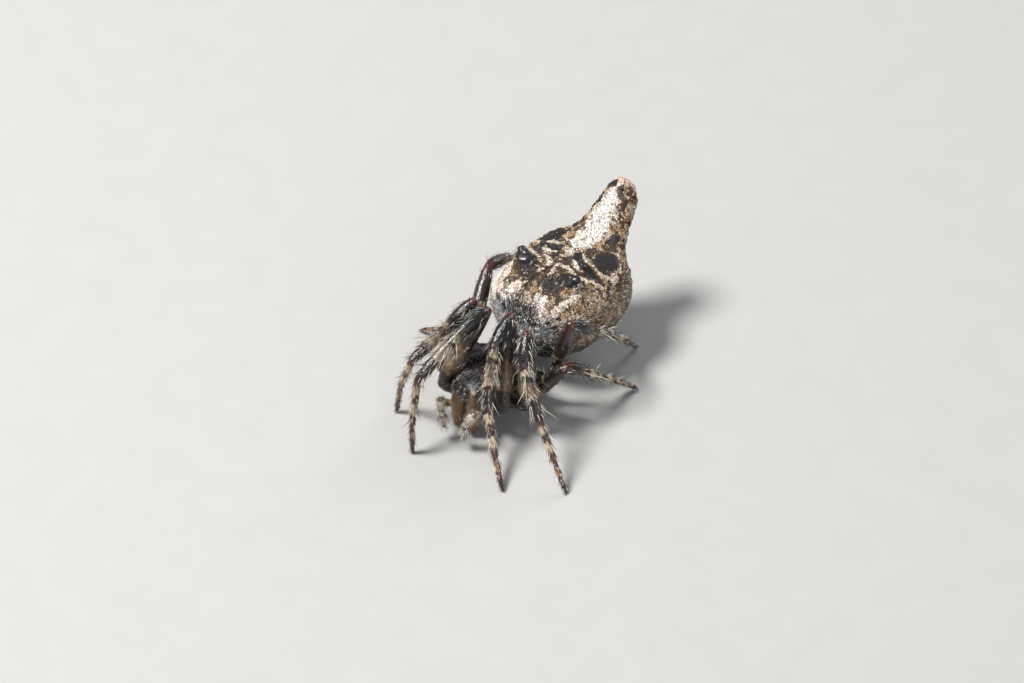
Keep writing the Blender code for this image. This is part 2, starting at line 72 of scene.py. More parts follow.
# Real half thickness along each segment, inside the solids by the depth of the bristles
LEG_SHAPES = {
    "coxa": ((0.0, 0.6, 1.0), (0.27, 0.24, 0.185)),
    "trochanter": ((0.0, 0.5, 1.0), (0.165, 0.192, 0.150)),
    "femur": ((0.0, 0.10, 0.35, 0.65, 0.90, 1.0), (0.145, 0.205, 0.248, 0.238, 0.182, 0.136)),
    "patella": ((0.0, 0.16, 0.55, 0.85, 1.0), (0.130, 0.182, 0.205, 0.178, 0.122)),
    "tibia": ((0.0, 0.10, 0.45, 0.85, 1.0), (0.108, 0.146, 0.160, 0.146, 0.104)),
    "metatarsus": ((0.0, 0.10, 0.5, 0.88, 1.0), (0.086, 0.108, 0.100, 0.091, 0.070)),
    "tarsus": ((0.0, 0.12, 0.6, 0.9, 1.0), (0.063, 0.081, 0.074, 0.059, 0.045)),
}
LEG_SLIMNESS = {1: 1.0, 2: 0.98, 3: 0.86, 4: 0.88}
FEMUR_BOW = 0.05

# Cephalothorax and mouthparts, as in the solids
SKIN_INSET = 0.03
BODY_Y = (-0.02, 0.12, 0.40, 0.75, 1.05, 1.35, 1.65, 1.95, 2.20, 2.42)
BODY_HALF_WIDTH = (0.34, 0.42, 0.49, 0.58, 0.80, 0.95, 0.99, 0.90, 0.68, 0.30)
BODY_WIDEST = (1.32, 1.34, 1.34, 1.22, 1.12, 1.08, 1.06, 1.06, 1.08, 1.10)
BODY_TOP = (1.42, 1.54, 1.66, 1.62, 1.58, 1.70, 1.74, 1.66, 1.48, 1.28)
BODY_BOTTOM = (1.22, 1.20, 1.10, 0.68, 0.58, 0.55, 0.55, 0.58, 0.66, 0.92)
MEDIAN_EYE_MOUND = ((0.0, 0.08, 1.47), 0.125)
LATERAL_EYE_MOUND = ((0.30, 0.17, 1.42), 0.105)
EYE_RADIUS = 0.068
EYES = {
    "eye_front_median": (0.100, -0.060, 1.500),
    "eye_rear_median": (0.068, 0.000, 1.605),
    "eye_front_lateral": (0.335, 0.045, 1.470),
    "eye_rear_lateral": (0.370, 0.165, 1.550),
}
CHELICERA = ((0.24, 0.15, 1.34), (0.235, 0.08, 0.21))
CHELICERA_SHAPE = ((0.0, 0.2, 0.45, 0.75, 1.0), (0.155, 0.200, 0.206, 0.176, 0.118))
PALP_COXA = ((0.22, 0.68, 0.74), (0.49, 0.31, 0.66))
PALP_JOINTS = (
    (0.49, 0.31, 0.66), (0.62, 0.05, 0.72), (0.54, -0.28, 1.16), (0.40, -0.42, 0.88), (0.30, -0.46, 0.45),
)
PALP_RADII = ((0.085, 0.098, 0.076), (0.080, 0.108, 0.080), (0.084, 0.112, 0.080), (0.084, 0.112, 0.040))
PALP_PARTS = ("palp_trochanter", "palp_femur", "palp_tibia", "palp_tarsus")

# Abdomen and tail, as in the solids: stations run back from the waist along its own axis
ABDOMEN_START = (0.0, 2.50)
ABDOMEN_YAW = math.radians(6.0)
ABDOMEN_BACK = np.array([math.sin(ABDOMEN_YAW), math.cos(ABDOMEN_YAW), 0.0])
ABDOMEN_ACROSS = np.array([math.cos(ABDOMEN_YAW), -math.sin(ABDOMEN_YAW), 0.0])
ABDOMEN_T = (0.00, 0.25, 0.50, 0.85, 1.25, 1.70, 2.15, 2.60, 3.00, 3.20, 3.40, 3.65, 4.00, 4.40, 4.76)
ABDOMEN_HALF_WIDTH = (
    0.75, 1.10, 1.35, 1.58, 1.67, 1.67, 1.67, 1.65, 1.54, 1.37, 1.05, 0.79, 0.65, 0.54, 0.46,
)
ABDOMEN_WIDEST = (1.75, 1.82, 1.85, 1.84, 1.82, 1.84, 1.88, 1.94, 2.04, 2.20, 2.44, 2.80, 3.18, 3.57, 3.85)
ABDOMEN_TOP = (2.16, 2.48, 2.69, 2.86, 2.96, 3.02, 3.04, 3.02, 3.01, 3.03, 3.11, 3.32, 3.67, 4.06, 4.33)
ABDOMEN_BOTTOM = (1.15, 0.84, 0.66, 0.52, 0.48, 0.50, 0.54, 0.62, 0.82, 1.20, 1.74, 2.30, 2.75, 3.17, 3.42)
UPPER_FULLNESS = 2.12
LOWER_FULLNESS = (1.60, 2.50)
LOWER_FULLNESS_T = (0.0, 3.0)
FRONT_ROUNDING = 0.45
TAIL_TIP_ROUNDING = 0.35
# Humps: place along the axis, distance aside, height of the tip, radius at the foot
HUMPS = ((1.45, 0.92, 3.19, 0.34), (2.13, 0.74, 3.09, 0.29), (2.82, 0.98, 2.86, 0.27))
# The line midway between the humps and the markings lies this far left of the abdomen's middle
HUMP_MIDDLE = -0.09
# Each hump also has lower inner tops: share of the way in, rise along the axis, and drop
HUMP_TOPS = ((0.0, 0.0, 0.10), (0.13, 0.01, 0.12), (0.27, 0.03, 0.17))
HUMP_ROOT_DEPTH = 0.75
HUMP_LEAN = 0.10
HUMP_ROOT_SHARE = 0.75
SPINNERETS_AT = 2.15
SPINNERET_PAIRS = ((-0.13, 0.10, 0.085, 0.30), (0.02, 0.06, 0.05, 0.20), (0.14, 0.10, 0.07, 0.28))
EPIGYNE_AT = 0.95

# Places further back than this are on the abdomen
WAIST_T = -0.02
WAIST_ENDS = ((0, 2.15, 1.10), (0.02, 2.72, 1.25))
WAIST_SHAPE = ((0.0, 0.5, 1.0), (0.15, 0.13, 0.20))

VOXEL = 0.030

# Colours, as linear light
BLACK = (0.010, 0.008, 0.008)
NEAR_BLACK = (0.022, 0.013, 0.011)
DARK_RED = (0.038, 0.015, 0.010)
RED_BROWN = (0.050, 0.012, 0.008)
RUST = (0.082, 0.029, 0.018)
SMOKE = (0.120, 0.085, 0.062)
OLIVE = (0.150, 0.100, 0.048)
CREAM = (0.44, 0.345, 0.225)
ORANGE = (0.20, 0.098, 0.044)
PALP_WHITE = (0.46, 0.40, 0.32)
PALE_HAIR = (0.78, 0.71, 0.56)
# Bluish white of pale bristles, partly a painted reflection of the light on them
BLUE_GLINT_HAIR = (0.60, 0.64, 0.70)
FROST = (0.62, 0.63, 0.64)
WHITE_HAIR = (0.80, 0.78, 0.72)
DARK_HAIR = (0.020, 0.013, 0.011)
WHITE = (0.84, 0.81, 0.76)
PINK = (0.80, 0.50, 0.46)
GOLD = (0.34, 0.222, 0.112)
AMBER = (0.42, 0.215, 0.062)
TAN = (0.52, 0.42, 0.31)
GREY = (0.50, 0.47, 0.42)
BROWN = (0.038, 0.021, 0.012)
CHESTNUT = (0.125, 0.062, 0.030)
JAW_BROWN = (0.23, 0.102, 0.040)
FOLD_CREAM = (0.72, 0.63, 0.51)
SHADED_GOLD = (0.30, 0.19, 0.09)
SHOULDER_WHITE = (0.78, 0.74, 0.68)
SHOULDER_GREY = (0.30, 0.27, 0.24)
FLANK_TAN = (0.58, 0.47, 0.36)
TAIL_BROWN = (0.05, 0.022, 0.010)
TIP_TAN = (0.60, 0.46, 0.37)
TIP_BROWN = (0.16, 0.10, 0.07)
UNDER_WHITE = (0.13, 0.085, 0.055)
DUSKY_BLACK = (0.030, 0.022, 0.018)
MARGIN_BROWN = (0.065, 0.034, 0.020)
STERNUM_BROWN = (0.040, 0.024, 0.016)
ENDITE_BROWN = (0.06, 0.036, 0.022)
TAN_HAIR = (0.42, 0.26, 0.12)
BROWN_HAIR = (0.20, 0.13, 0.08)

# Bands along each leg segment: (share of the length where the band ends, its colour)
FRONT_BANDS = {
    "coxa": ((1.0, NEAR_BLACK),),
    "trochanter": ((0.8, NEAR_BLACK), (1.0, BLACK)),
    "femur": (
        (0.12, BLACK), (0.20, NEAR_BLACK), (0.32, OLIVE), (0.46, SMOKE), (0.54, CHESTNUT),
        (0.94, NEAR_BLACK), (1.0, RED_BROWN),
    ),
    "patella": ((0.09, RED_BROWN), (0.92, BLACK), (1.0, DARK_RED)),
    "tibia": (
        (0.05, DARK_RED), (0.15, CREAM), (0.27, DARK_RED), (0.60, CREAM),
        (0.70, DARK_RED), (0.92, NEAR_BLACK), (1.0, DARK_RED),
    ),
    "metatarsus": ((0.13, RUST), (0.32, CREAM), (0.54, RUST), (0.74, CREAM), (1.0, RUST)),
    "tarsus": ((0.12, RUST), (0.44, ORANGE), (0.80, RUST), (1.0, DARK_RED)),
}
REAR_BANDS = {
    "coxa": ((1.0, NEAR_BLACK),),
    "trochanter": ((0.6, NEAR_BLACK), (1.0, OLIVE)),
    "femur": (
        (0.12, NEAR_BLACK), (0.24, OLIVE), (0.42, BLACK), (0.50, OLIVE), (0.92, NEAR_BLACK), (1.0, RED_BROWN),
    ),
    "patella": ((0.12, RED_BROWN), (0.62, BLACK), (0.84, RED_BROWN), (1.0, CHESTNUT)),
    "tibia": ((0.26, DARK_RED), (0.46, CREAM), (0.76, DARK_RED), (0.88, CREAM), (1.0, DARK_RED)),
    "metatarsus": ((0.28, RUST), (0.50, CREAM), (0.80, RUST), (0.90, CREAM), (1.0, RUST)),
    "tarsus": ((0.16, RUST), (0.50, ORANGE), (1.0, DARK_RED)),
}
PALP_BANDS = {
    "palp_trochanter": ((1.0, OLIVE),),
    "palp_femur": ((0.7, SMOKE), (1.0, PALP_WHITE)),
    "palp_tibia": ((0.10, SMOKE), (0.84, PALP_WHITE), (1.0, CHESTNUT)),
    "palp_tarsus": ((0.14, PALP_WHITE), (0.34, CHESTNUT), (0.82, PALP_WHITE), (1.0, BROWN)),
}
BAND_EDGE = 0.03
# How dark the stripe is along the upper side of each segment in the front two pairs
UPPER_STRIPE = {"tibia": 0.72, "metatarsus": 0.30}


def place(points):
    """Places in millimetres from under the eyes, as metres from the model's origin."""
    return (np.asarray(points, float) - BOX_MIDDLE) * MM


def unit(vectors):
    vectors = np.asarray(vectors, float)
    return vectors / np.maximum(np.linalg.norm(vectors, axis=-1, keepdims=True), 1e-12)


def mirrored(point, side):
    return np.array([point[0] * SIDES[side], point[1], point[2]])


def curve_values(at, places, values):
    """Reads a smooth curve through a few stations, without overshoot between them."""
    at = np.asarray(at, float)
    places = np.asarray(places, float)
    values = np.asarray(values, float)
    steps = np.diff(places)
    slopes = np.diff(values) / steps
    tangents = np.zeros(len(values))
    tangents[0] = slopes[0]
    tangents[-1] = slopes[-1]
    for i in range(1, len(values) - 1):
        if slopes[i - 1] * slopes[i] > 0:
            tangents[i] = 2 * slopes[i - 1] * slopes[i] / (slopes[i - 1] + slopes[i])
    i = np.clip(np.searchsorted(places, at) - 1, 0, len(steps) - 1)
    s = np.clip((at - places[i]) / steps[i], 0.0, 1.0)
    start = (1 + 2 * s) * (1 - s) ** 2 * values[i] + s * (1 - s) ** 2 * steps[i] * tangents[i]
    end = s * s * (3 - 2 * s) * values[i + 1] + s * s * (s - 1) * steps[i] * tangents[i + 1]
    return start + end


def ramp(values, low, high):
    """0 below low, 1 above high and smooth between them. It falls instead where high is below low."""
    share = np.clip((values - low) / (high - low), 0.0, 1.0)
    return share * share * (3 - 2 * share)


def make_noise(seed, size, waves=28):
    """A smooth random field, mostly within -1 to 1, whose lumps are about one size across."""
    draw = np.random.default_rng(seed)
    pace = 2 * math.pi / size * draw.uniform(0.5, 1.5, waves)
    directions = unit(draw.normal(size=(waves, 3))) * pace[:, None]
    phases = draw.uniform(0, 2 * math.pi, waves)

    def field(points):
        return np.sin(points @ directions.T + phases).sum(axis=1) * math.sqrt(1.4 / waves)

    return field


def blend(base, colour, share):
    return base + (np.asarray(colour) - base) * np.asarray(share)[:, None]


class Tube:
    """One segment with a straight or slightly bowed axis, its own upper side and its own thickness."""

    def __init__(self, part, limb, start, end, shape, slim=1.0, bow=0.0, caps=(True, True)):
        self.part = part
        self.limb = limb
        self.start = np.asarray(start, float)
        self.end = np.asarray(end, float)
        self.length = float(np.linalg.norm(self.end - self.start))
        self.axis = (self.end - self.start) / self.length
        self.aside = unit(np.cross(self.axis, UP))
        self.up = np.cross(self.aside, self.axis)
        self.shares, self.radii = shape
        self.slim = slim
        self.bow = bow
        self.caps = caps

    def centre(self, share):
        share = np.asarray(share, float)
        lift = self.bow * 4 * share * (1 - share)
        along = self.start + (self.end - self.start) * share[..., None]
        return along + self.up * lift[..., None]

    def radius(self, share):
        return self.slim * curve_values(share, self.shares, self.radii)

    def surface(self, share, angle):
        """Points on the surface, and the directions that point out of it there."""
        out = np.cos(angle)[:, None] * self.up + np.sin(angle)[:, None] * self.aside
        return self.centre(share) + out * self.radius(share)[:, None], out

    def coordinates(self, points):
        """Share along the segment, distance from the axis over the radius, and angle from the upper side."""
        share = (points - self.start) @ self.axis / self.length
        held = np.clip(share, 0.0, 1.0)
        off = points - self.centre(held)
        nearness = np.linalg.norm(off, axis=1) / self.radius(held)
        return share, nearness, np.arctan2(off @ self.aside, off @ self.up)

    def shell(self, sides=28, step=0.03):
        """Rings of points with round ends, as vertices and faces."""
        first, last = self.radius(0.0) * 0.8, self.radius(1.0) * 0.8
        distances = np.linspace(0, self.length, max(4, int(self.length / step)))
        turns = np.linspace(0, math.pi / 2, 7)[1:-1]
        places = [-first * math.cos(a) for a in turns] if self.caps[0] else []
        sizes = [math.sin(a) for a in turns] if self.caps[0] else []
        places += list(distances)
        sizes += [1.0] * len(distances)
        if self.caps[1]:
            places += [self.length + last * math.cos(a) for a in turns[::-1]]
            sizes += [math.sin(a) for a in turns[::-1]]
        angles = np.linspace(0, 2 * math.pi, sides, endpoint=False)
        around = np.cos(angles)[:, None] * self.up + np.sin(angles)[:, None] * self.aside
        rings = []
        for distance, size in zip(places, sizes):
            share = np.clip(distance / self.length, 0.0, 1.0)
            centre = self.centre(share) + self.axis * (distance - share * self.length)
            rings.append(centre + around * self.radius(share) * size)
        return ringed_shell(rings)


def ringed_shell(rings):
    """Joins rings of points and closes both ends with a fan."""
    count = len(rings[0])
    points = np.concatenate(list(rings) + [rings[0].mean(axis=0)[None], rings[-1].mean(axis=0)[None]])
    here = np.arange(count)
    there = (here + 1) % count
    faces = []
    for i in range(len(rings) - 1):
        low, high = i * count, (i + 1) * count
        faces += np.stack([low + here, low + there, high + there, high + here], axis=1).tolist()
    front, back = len(rings) * count, len(rings) * count + 1
    last = (len(rings) - 1) * count
    faces += [[front, int(b), int(a)] for a, b in zip(here, there)]
    faces += [[back, int(last + a), int(last + b)] for a, b in zip(here, there)]
    return points, faces


def oval_ring(centre, across, half_width, above, below, sides, upper=2.2, lower=2.2):
    """An upright rounded oval with its own height and fullness above and below its widest line."""
    angles = np.linspace(0, 2 * math.pi, sides, endpoint=False)
    c, s = np.cos(angles), np.sin(angles)
    height = np.where(s > 0, above, below)
    fullness = np.where(s > 0, upper, lower)
    side = np.sign(c) * np.abs(c) ** (2 / fullness)
    rise = np.sign(s) * np.abs(s) ** (2 / fullness)
    return centre + across * (half_width * side)[:, None] + UP * (height * rise)[:, None]


def ball_shell(centre, radius, sides=32):
    turns = np.linspace(0, math.pi, sides // 2 + 1)[1:-1]
    angles = np.linspace(0, 2 * math.pi, sides, endpoint=False)
    level = np.stack([np.cos(angles), np.sin(angles), 0 * angles], axis=1)
    rings = [np.asarray(centre) + radius * (math.sin(a) * level + math.cos(a) * UP) for a in turns]
    return ringed_shell(rings[::-1])


def leg_joints(pair, side):
    joints = [mirrored(FEMUR_STARTS[pair], side)]
    for i, (heading, rise) in enumerate(zip(*POSE[pair, side])):
        turn, lift = math.radians(heading), math.radians(rise)
        level = math.cos(lift)
        direction = np.array([SIDES[side] * math.sin(turn) * level, -math.cos(turn) * level, math.sin(lift)])
        if i < len(SEGMENT_LENGTHS[pair]):
            length = SEGMENT_LENGTHS[pair][i]
        else:
            length = (joints[-1][2] - FOOT_HEIGHT) / -direction[2]
        joints.append(joints[-1] + direction * length)
    return joints


def leg_tubes(pair, side):
    limb = "leg_%d_%s" % (pair, side)
    joints = leg_joints(pair, side)
    slim = LEG_SLIMNESS[pair]
    root = mirrored(COXA_ROOTS[pair], side)
    hip = joints[0] - unit(joints[0] - root) * TROCHANTER_LENGTH
    tubes = [
        Tube("coxa", limb, root, hip, LEG_SHAPES["coxa"]),
        Tube("trochanter", limb, hip, joints[0], LEG_SHAPES["trochanter"], slim),
    ]
    for part, start, end in zip(SEGMENTS, joints, joints[1:]):
        bow = FEMUR_BOW if part == "femur" else 0.0
        tubes.append(Tube(part, limb, start, end, LEG_SHAPES[part], slim, bow))
    return tubes


def palp_tubes(side):
    limb = "palp_" + side
    root, end = (mirrored(point, side) for point in PALP_COXA)
    tubes = [Tube("endite", limb, root, end, ((0.0, 1.0), (0.135, 0.120)))]
    joints = [mirrored(point, side) for point in PALP_JOINTS]
    for part, start, end, radii in zip(PALP_PARTS, joints, joints[1:], PALP_RADII):
        tubes.append(Tube(part, limb, start, end, ((0.0, 0.5, 1.0), radii)))
    return tubes


def chelicera_tube(side):
    start, end = (mirrored(point, side) for point in CHELICERA)
    return Tube("chelicera", "chelicera_" + side, start, end, CHELICERA_SHAPE, bow=-0.03)


def body_shell():
    """The cephalothorax, a little inside its solid."""
    rings = []
    first, last = BODY_Y[0] + SKIN_INSET, BODY_Y[-1]
    stations = [(first - 0.05, 0.55), (first - 0.02, 0.82)]
    stations += [(y, 1.0) for y in np.linspace(first, last, 80)]
    for y, size in stations:
        half_width = (curve_values(y, BODY_Y, BODY_HALF_WIDTH) - SKIN_INSET) * size
        widest = curve_values(y, BODY_Y, BODY_WIDEST)
        above = (curve_values(y, BODY_Y, BODY_TOP) - SKIN_INSET - widest) * size
        below = (widest - curve_values(y, BODY_Y, BODY_BOTTOM) - SKIN_INSET) * size
        centre = np.array([0.0, y, widest])
        rings.append(oval_ring(centre, np.array([1.0, 0, 0]), half_width, above, below, 72))
    return ringed_shell(rings)


def abdomen_place(t, across, height):
    level = ABDOMEN_BACK * t + ABDOMEN_ACROSS * across
    return np.array([ABDOMEN_START[0] + level[0], ABDOMEN_START[1] + level[1], height])


def abdomen_local(points):
    """Distance behind the waist, distance to the left, and height."""
    off = points - np.array([ABDOMEN_START[0], ABDOMEN_START[1], 0.0])
    return off @ ABDOMEN_BACK, off @ ABDOMEN_ACROSS, off[:, 2]


def end_rounding(distance, radius):
    if distance >= radius:
        return 1.0
    return math.sqrt(max(0.0, 1 - (1 - distance / radius) ** 2))


def abdomen_shell():
    rings = []
    length = ABDOMEN_T[-1] - SKIN_INSET
    for share in (np.arange(150) + 0.5) / 150:
        t = SKIN_INSET + (length - SKIN_INSET) * (0.5 - 0.5 * math.cos(math.pi * share))
        size = end_rounding(t - SKIN_INSET, FRONT_ROUNDING) * end_rounding(length - t, TAIL_TIP_ROUNDING)
        widest = curve_values(t, ABDOMEN_T, ABDOMEN_WIDEST)
        half_width = (curve_values(t, ABDOMEN_T, ABDOMEN_HALF_WIDTH) - SKIN_INSET) * size
        above = (curve_values(t, ABDOMEN_T, ABDOMEN_TOP) - SKIN_INSET - widest) * size
        below = (widest - curve_values(t, ABDOMEN_T, ABDOMEN_BOTTOM) - SKIN_INSET) * size
        lower = float(curve_values(min(t, LOWER_FULLNESS_T[-1]), LOWER_FULLNESS_T, LOWER_FULLNESS))
        centre = abdomen_place(t, 0.0, widest)
        rings.append(oval_ring(centre, ABDOMEN_ACROSS, half_width, above, below, 160, UPPER_FULLNESS, lower))
    return ringed_shell(rings)


def hump_tubes():
    shape = ((0.0, 0.55, 0.78, 0.92, 1.0), (1.25, 1.0, 0.78, 0.56, 0.42))
    tubes = []
    for t, aside, height, radius in HUMPS:
        for side in SIDES.values():
            for inward, back, drop in HUMP_TOPS:
                off = side * (aside - inward)
                top = abdomen_place(t + back, HUMP_MIDDLE + off, height - drop)
                foot_height = height - HUMP_ROOT_DEPTH
                foot_aside = HUMP_MIDDLE + off * HUMP_ROOT_SHARE
                foot = abdomen_place(t + back - HUMP_LEAN, foot_aside, foot_height)
                tubes.append(Tube("hump", "abdomen", foot, top, shape, radius * 0.9))
    return tubes


def spinneret_tubes():
    bottom = float(curve_values(SPINNERETS_AT, ABDOMEN_T, ABDOMEN_BOTTOM))
    base = abdomen_place(SPINNERETS_AT, 0.0, bottom - 0.06)
    disc_shape = ((0.0, 1.0), (0.26, 0.22))
    tubes = [Tube("spinneret_disc", "abdomen", base + UP * 0.25, base - UP * 0.06, disc_shape)]
    for along, aside, radius, reach in SPINNERET_PAIRS:
        for side in SIDES.values():
            start = base + np.array([side * aside, along, 0.0])
            end = start + np.array([side * 0.3 * aside, 0.5 * along, -reach])
            shape = ((0.0, 0.6, 1.0), (radius, radius * 0.85, radius * 0.45))
            tubes.append(Tube("spinneret", "abdomen", start, end, shape))
    return tubes


def mesh_object(name, points, faces, smooth=True):
    mesh = bpy.data.meshes.new(name)
    mesh.from_pydata(points.tolist() if isinstance(points, np.ndarray) else points, [], faces)
    mesh.update()
    if smooth:
        mesh.shade_smooth()
    made = bpy.data.objects.new(name, mesh)
    bpy.context.scene.collection.objects.link(made)
    return made


def joined(shells):
    points, faces, count = [], [], 0
    for shell_points, shell_faces in shells:
        points.append(shell_points)
        faces += [[corner + count for corner in face] for face in shell_faces]
        count += len(shell_points)
    return np.concatenate(points), faces


def remeshed(shells):
    """One closed skin over all the shells, still in millimetres, as vertices and faces."""
    seed = mesh_object("skin_seed", *joined(shells))
    remesh = seed.modifiers.new("skin", "REMESH")
    remesh.mode = "VOXEL"
    remesh.voxel_size = VOXEL
    graph = bpy.context.evaluated_depsgraph_get()
    mesh = bpy.data.meshes.new_from_object(seed.evaluated_get(graph))
    points = np.empty(len(mesh.vertices) * 3)
    mesh.vertices.foreach_get("co", points)
    faces = np.empty(len(mesh.loops), int)
    mesh.loops.foreach_get("vertex_index", faces)
    bpy.data.objects.remove(seed)
    bpy.data.meshes.remove(mesh)
    return points.reshape(-1, 3), faces.reshape(-1, 4)


def relaxed(points, faces, rounds, weight):
    """Evens out the voxel steps: each point moves towards its neighbours and most of the way back."""
    edges = np.concatenate([faces[:, [i, (i + 1) % 4]] for i in range(4)])
    counts = np.bincount(edges[:, 0], minlength=len(points))
    for _ in range(rounds):
        for push in (0.55, -0.53):
            mean = np.stack(
                [np.bincount(edges[:, 0], points[edges[:, 1], k], len(points)) for k in range(3)], axis=1
            )
            mean /= np.maximum(counts, 1)[:, None]
            points = points + (mean - points) * (push * weight)[:, None]
    return points


def face_crosses(points, faces):
    """The cross product of the diagonals of each four-sided face, which is twice as long as its area."""
    return np.cross(points[faces[:, 2]] - points[faces[:, 0]], points[faces[:, 3]] - points[faces[:, 1]])


def normals_of(points, faces):
    across = face_crosses(points, faces)
    total = np.zeros_like(points)
    for corner in range(4):
        for k in range(3):
            total[:, k] += np.bincount(faces[:, corner], across[:, k], len(points))
    return unit(total)


def nearest_tubes(points, tubes):
    """For each point the number of the tube it lies on, -1 for none, with its share and angle there."""
    best = np.full(len(points), 1.30)
    number = np.full(len(points), -1)
    shares, angles = np.zeros(len(points)), np.zeros(len(points))
    for i, tube in enumerate(tubes):
        reach = tube.length / 2 + 0.6
        near = np.flatnonzero(np.linalg.norm(points - (tube.start + tube.end) / 2, axis=1) < reach)
        share, nearness, angle = tube.coordinates(points[near])
        closer = nearness < best[near]
        chosen = near[closer]
        best[chosen] = nearness[closer]
        number[chosen] = i
        shares[chosen] = share[closer]
        angles[chosen] = angle[closer]
    return number, shares, angles


# Markings. Each function takes places and gives, for each, the colour of its light grains, the
# colour between them, how much of it the grains cover, how strongly they show, and its roughness.
warp_t = make_noise(11, 0.42)
warp_a = make_noise(12, 0.42)
fine_warp = make_noise(13, 0.13)
patches = make_noise(14, 0.55)
small_patches = make_noise(15, 0.22)
band_warp = make_noise(16, 0.20)


def spot(t, a, centre, radii, soft=0.25):
    """1 inside an ellipse and 0 outside it."""
    distance = np.hypot((t - centre[0]) / radii[0], (a - centre[1]) / radii[1])
    return ramp(distance, 1 + soft, 1 - soft)


def stroke(t, a, corners, width, soft=0.35):
    """1 along a line through the corners and 0 off it."""
    nearest = np.full(len(t), 1e9)
    for (t0, a0), (t1, a1) in zip(corners, corners[1:]):
        dt, da = t1 - t0, a1 - a0
        share = np.clip(((t - t0) * dt + (a - a0) * da) / (dt * dt + da * da), 0, 1)
        nearest = np.minimum(nearest, np.hypot(t - t0 - share * dt, a - a0 - share * da))
    return ramp(nearest / width, 1 + soft, 1 - soft)


# Lines of the markings, as places along the abdomen and distances from the line midway between the humps
RIDGE = (
    (0.45, 0.30), (0.91, 0.27), (1.34, 0.14), (1.66, 0.10),
    (1.82, 0.36), (1.72, 0.72), (1.86, 1.02), (2.05, 1.30),
)
FRONT_RIDGE = ((1.72, 0.80), (1.35, 1.16), (1.05, 1.12), (0.80, 1.00))
REAR_RIDGE = ((2.35, 0.12), (2.42, 0.55), (2.30, 1.15), (2.45, 1.40))
RIM = ((3.20, 0.92), (2.95, 1.22), (2.70, 1.36), (2.40, 1.45))
FIRST_HUMP_BLACK = ((1.40, 0.86), (1.38, 0.62))
SECOND_HUMP_BLACK = ((2.27, 0.32), (2.12, 0.66), (2.07, 1.00))
WHITE_STRIP = ((2.11, 0.30), (1.95, 0.60))
FRONT_EDGE = ((0.52, 0.92), (0.90, 1.06), (1.18, 1.12))
# Places along the abdomen, and half the width of the white middle stripe at each
STRIPE_HALF_WIDTH = ((1.9, 2.4, 3.0, 3.3, 3.8, 4.15, 4.45), (0.02, 0.10, 0.30, 0.35, 0.27, 0.21, 0.02))


def white_shoulder(t, a, rise):
    """1 on the smooth pale strip along the right side of the abdomen's front half."""
    return spot(t, rise, (1.00, 0.41), (0.80, 0.17), 0.4) * ramp(-a, 0.2, 0.6)


def abdomen_rise(t, height):
    """0 at the height of the widest line, 1 on the top and below 0 under that line."""
    widest = curve_values(t, ABDOMEN_T, ABDOMEN_WIDEST)
    return (height - widest) / (curve_values(t, ABDOMEN_T, ABDOMEN_TOP) - widest)


class AbdomenPlaces:
    """Where points lie on the abdomen, plain (t, a) and with wandering edges and mirrored (t2, a2)."""

    def __init__(self, points):
        self.points = points
        self.t, self.a, self.h = abdomen_local(points)
        self.t2 = self.t + 0.035 * warp_t(points) + 0.015 * fine_warp(points)
        wander = 0.035 * warp_a(points) + 0.015 * fine_warp(points[:, [1, 2, 0]])
        self.a2 = np.abs(self.a - HUMP_MIDDLE + wander)
        self.rise = abdomen_rise(self.t, self.h)
        self.above = ramp(self.rise, 0.25, 0.62)
        self.below = ramp(self.rise, -0.15, -0.65)
        self.tail = ramp(self.t, 3.10, 3.40)
        self.back = self.above * (1 - self.tail)

    def spot(self, centre, radii, soft=0.25):
        return spot(self.t2, self.a2, centre, radii, soft)

    def stroke(self, corners, width, soft=0.35):
        return stroke(self.t2, self.a2, corners, width, soft)


class Paint:
    """The five values of each point while its markings are laid over one another."""

    def __init__(self, count, grains, ground, cover, rough):
        self.grains = np.tile(grains, (count, 1))
        self.ground = np.tile(ground, (count, 1))
        self.cover = cover
        self.rough = np.full(count, rough)

    def tint(self, colour, share):
        self.grains = blend(self.grains, colour, share)

    def base(self, colour, share):
        self.ground = blend(self.ground, colour, share)

    def cover_to(self, level, share):
        self.cover = self.cover + (level - self.cover) * share


def paint_whites(paint, at):
    """The white middle stripe, strips ahead of the second humps, and pink and white behind the front edge."""
    points = at.points
    off_middle = np.abs(at.a + 0.05 * warp_a(points) + 0.03 * fine_warp(points) - HUMP_MIDDLE)
    stripe = ramp(off_middle - curve_values(at.t, *STRIPE_HALF_WIDTH), 0.12, -0.10)
    stripe *= ramp(at.rise, 0.15, 0.45) * ramp(at.t2, 1.9, 2.5)
    stripe *= 1 - 0.45 * ramp(small_patches(points[:, [2, 1, 0]]), 0.35, 0.9) * ramp(at.t, 3.3, 2.9)
    white = np.maximum(stripe, at.stroke(WHITE_STRIP, 0.028) * at.back)
    front_edge = at.spot((0.55, 0.42), (0.22, 0.21)) + at.stroke(FRONT_EDGE, 0.10)
    front_edge = np.clip(front_edge + at.spot((0.36, 0.66), (0.12, 0.14)), 0, 1) * ramp(at.h, 2.20, 2.40)
    pinkness = ramp(patches(points[:, [0, 2, 1]]) + 0.5 * small_patches(points), -0.5, 0.5)
    paint.tint(WHITE, np.maximum(white, front_edge))
    paint.tint(PINK, front_edge * pinkness * 0.85)
    paint.cover_to(0.93, np.maximum(white, 0.85 * front_edge))
    return stripe, white, front_edge


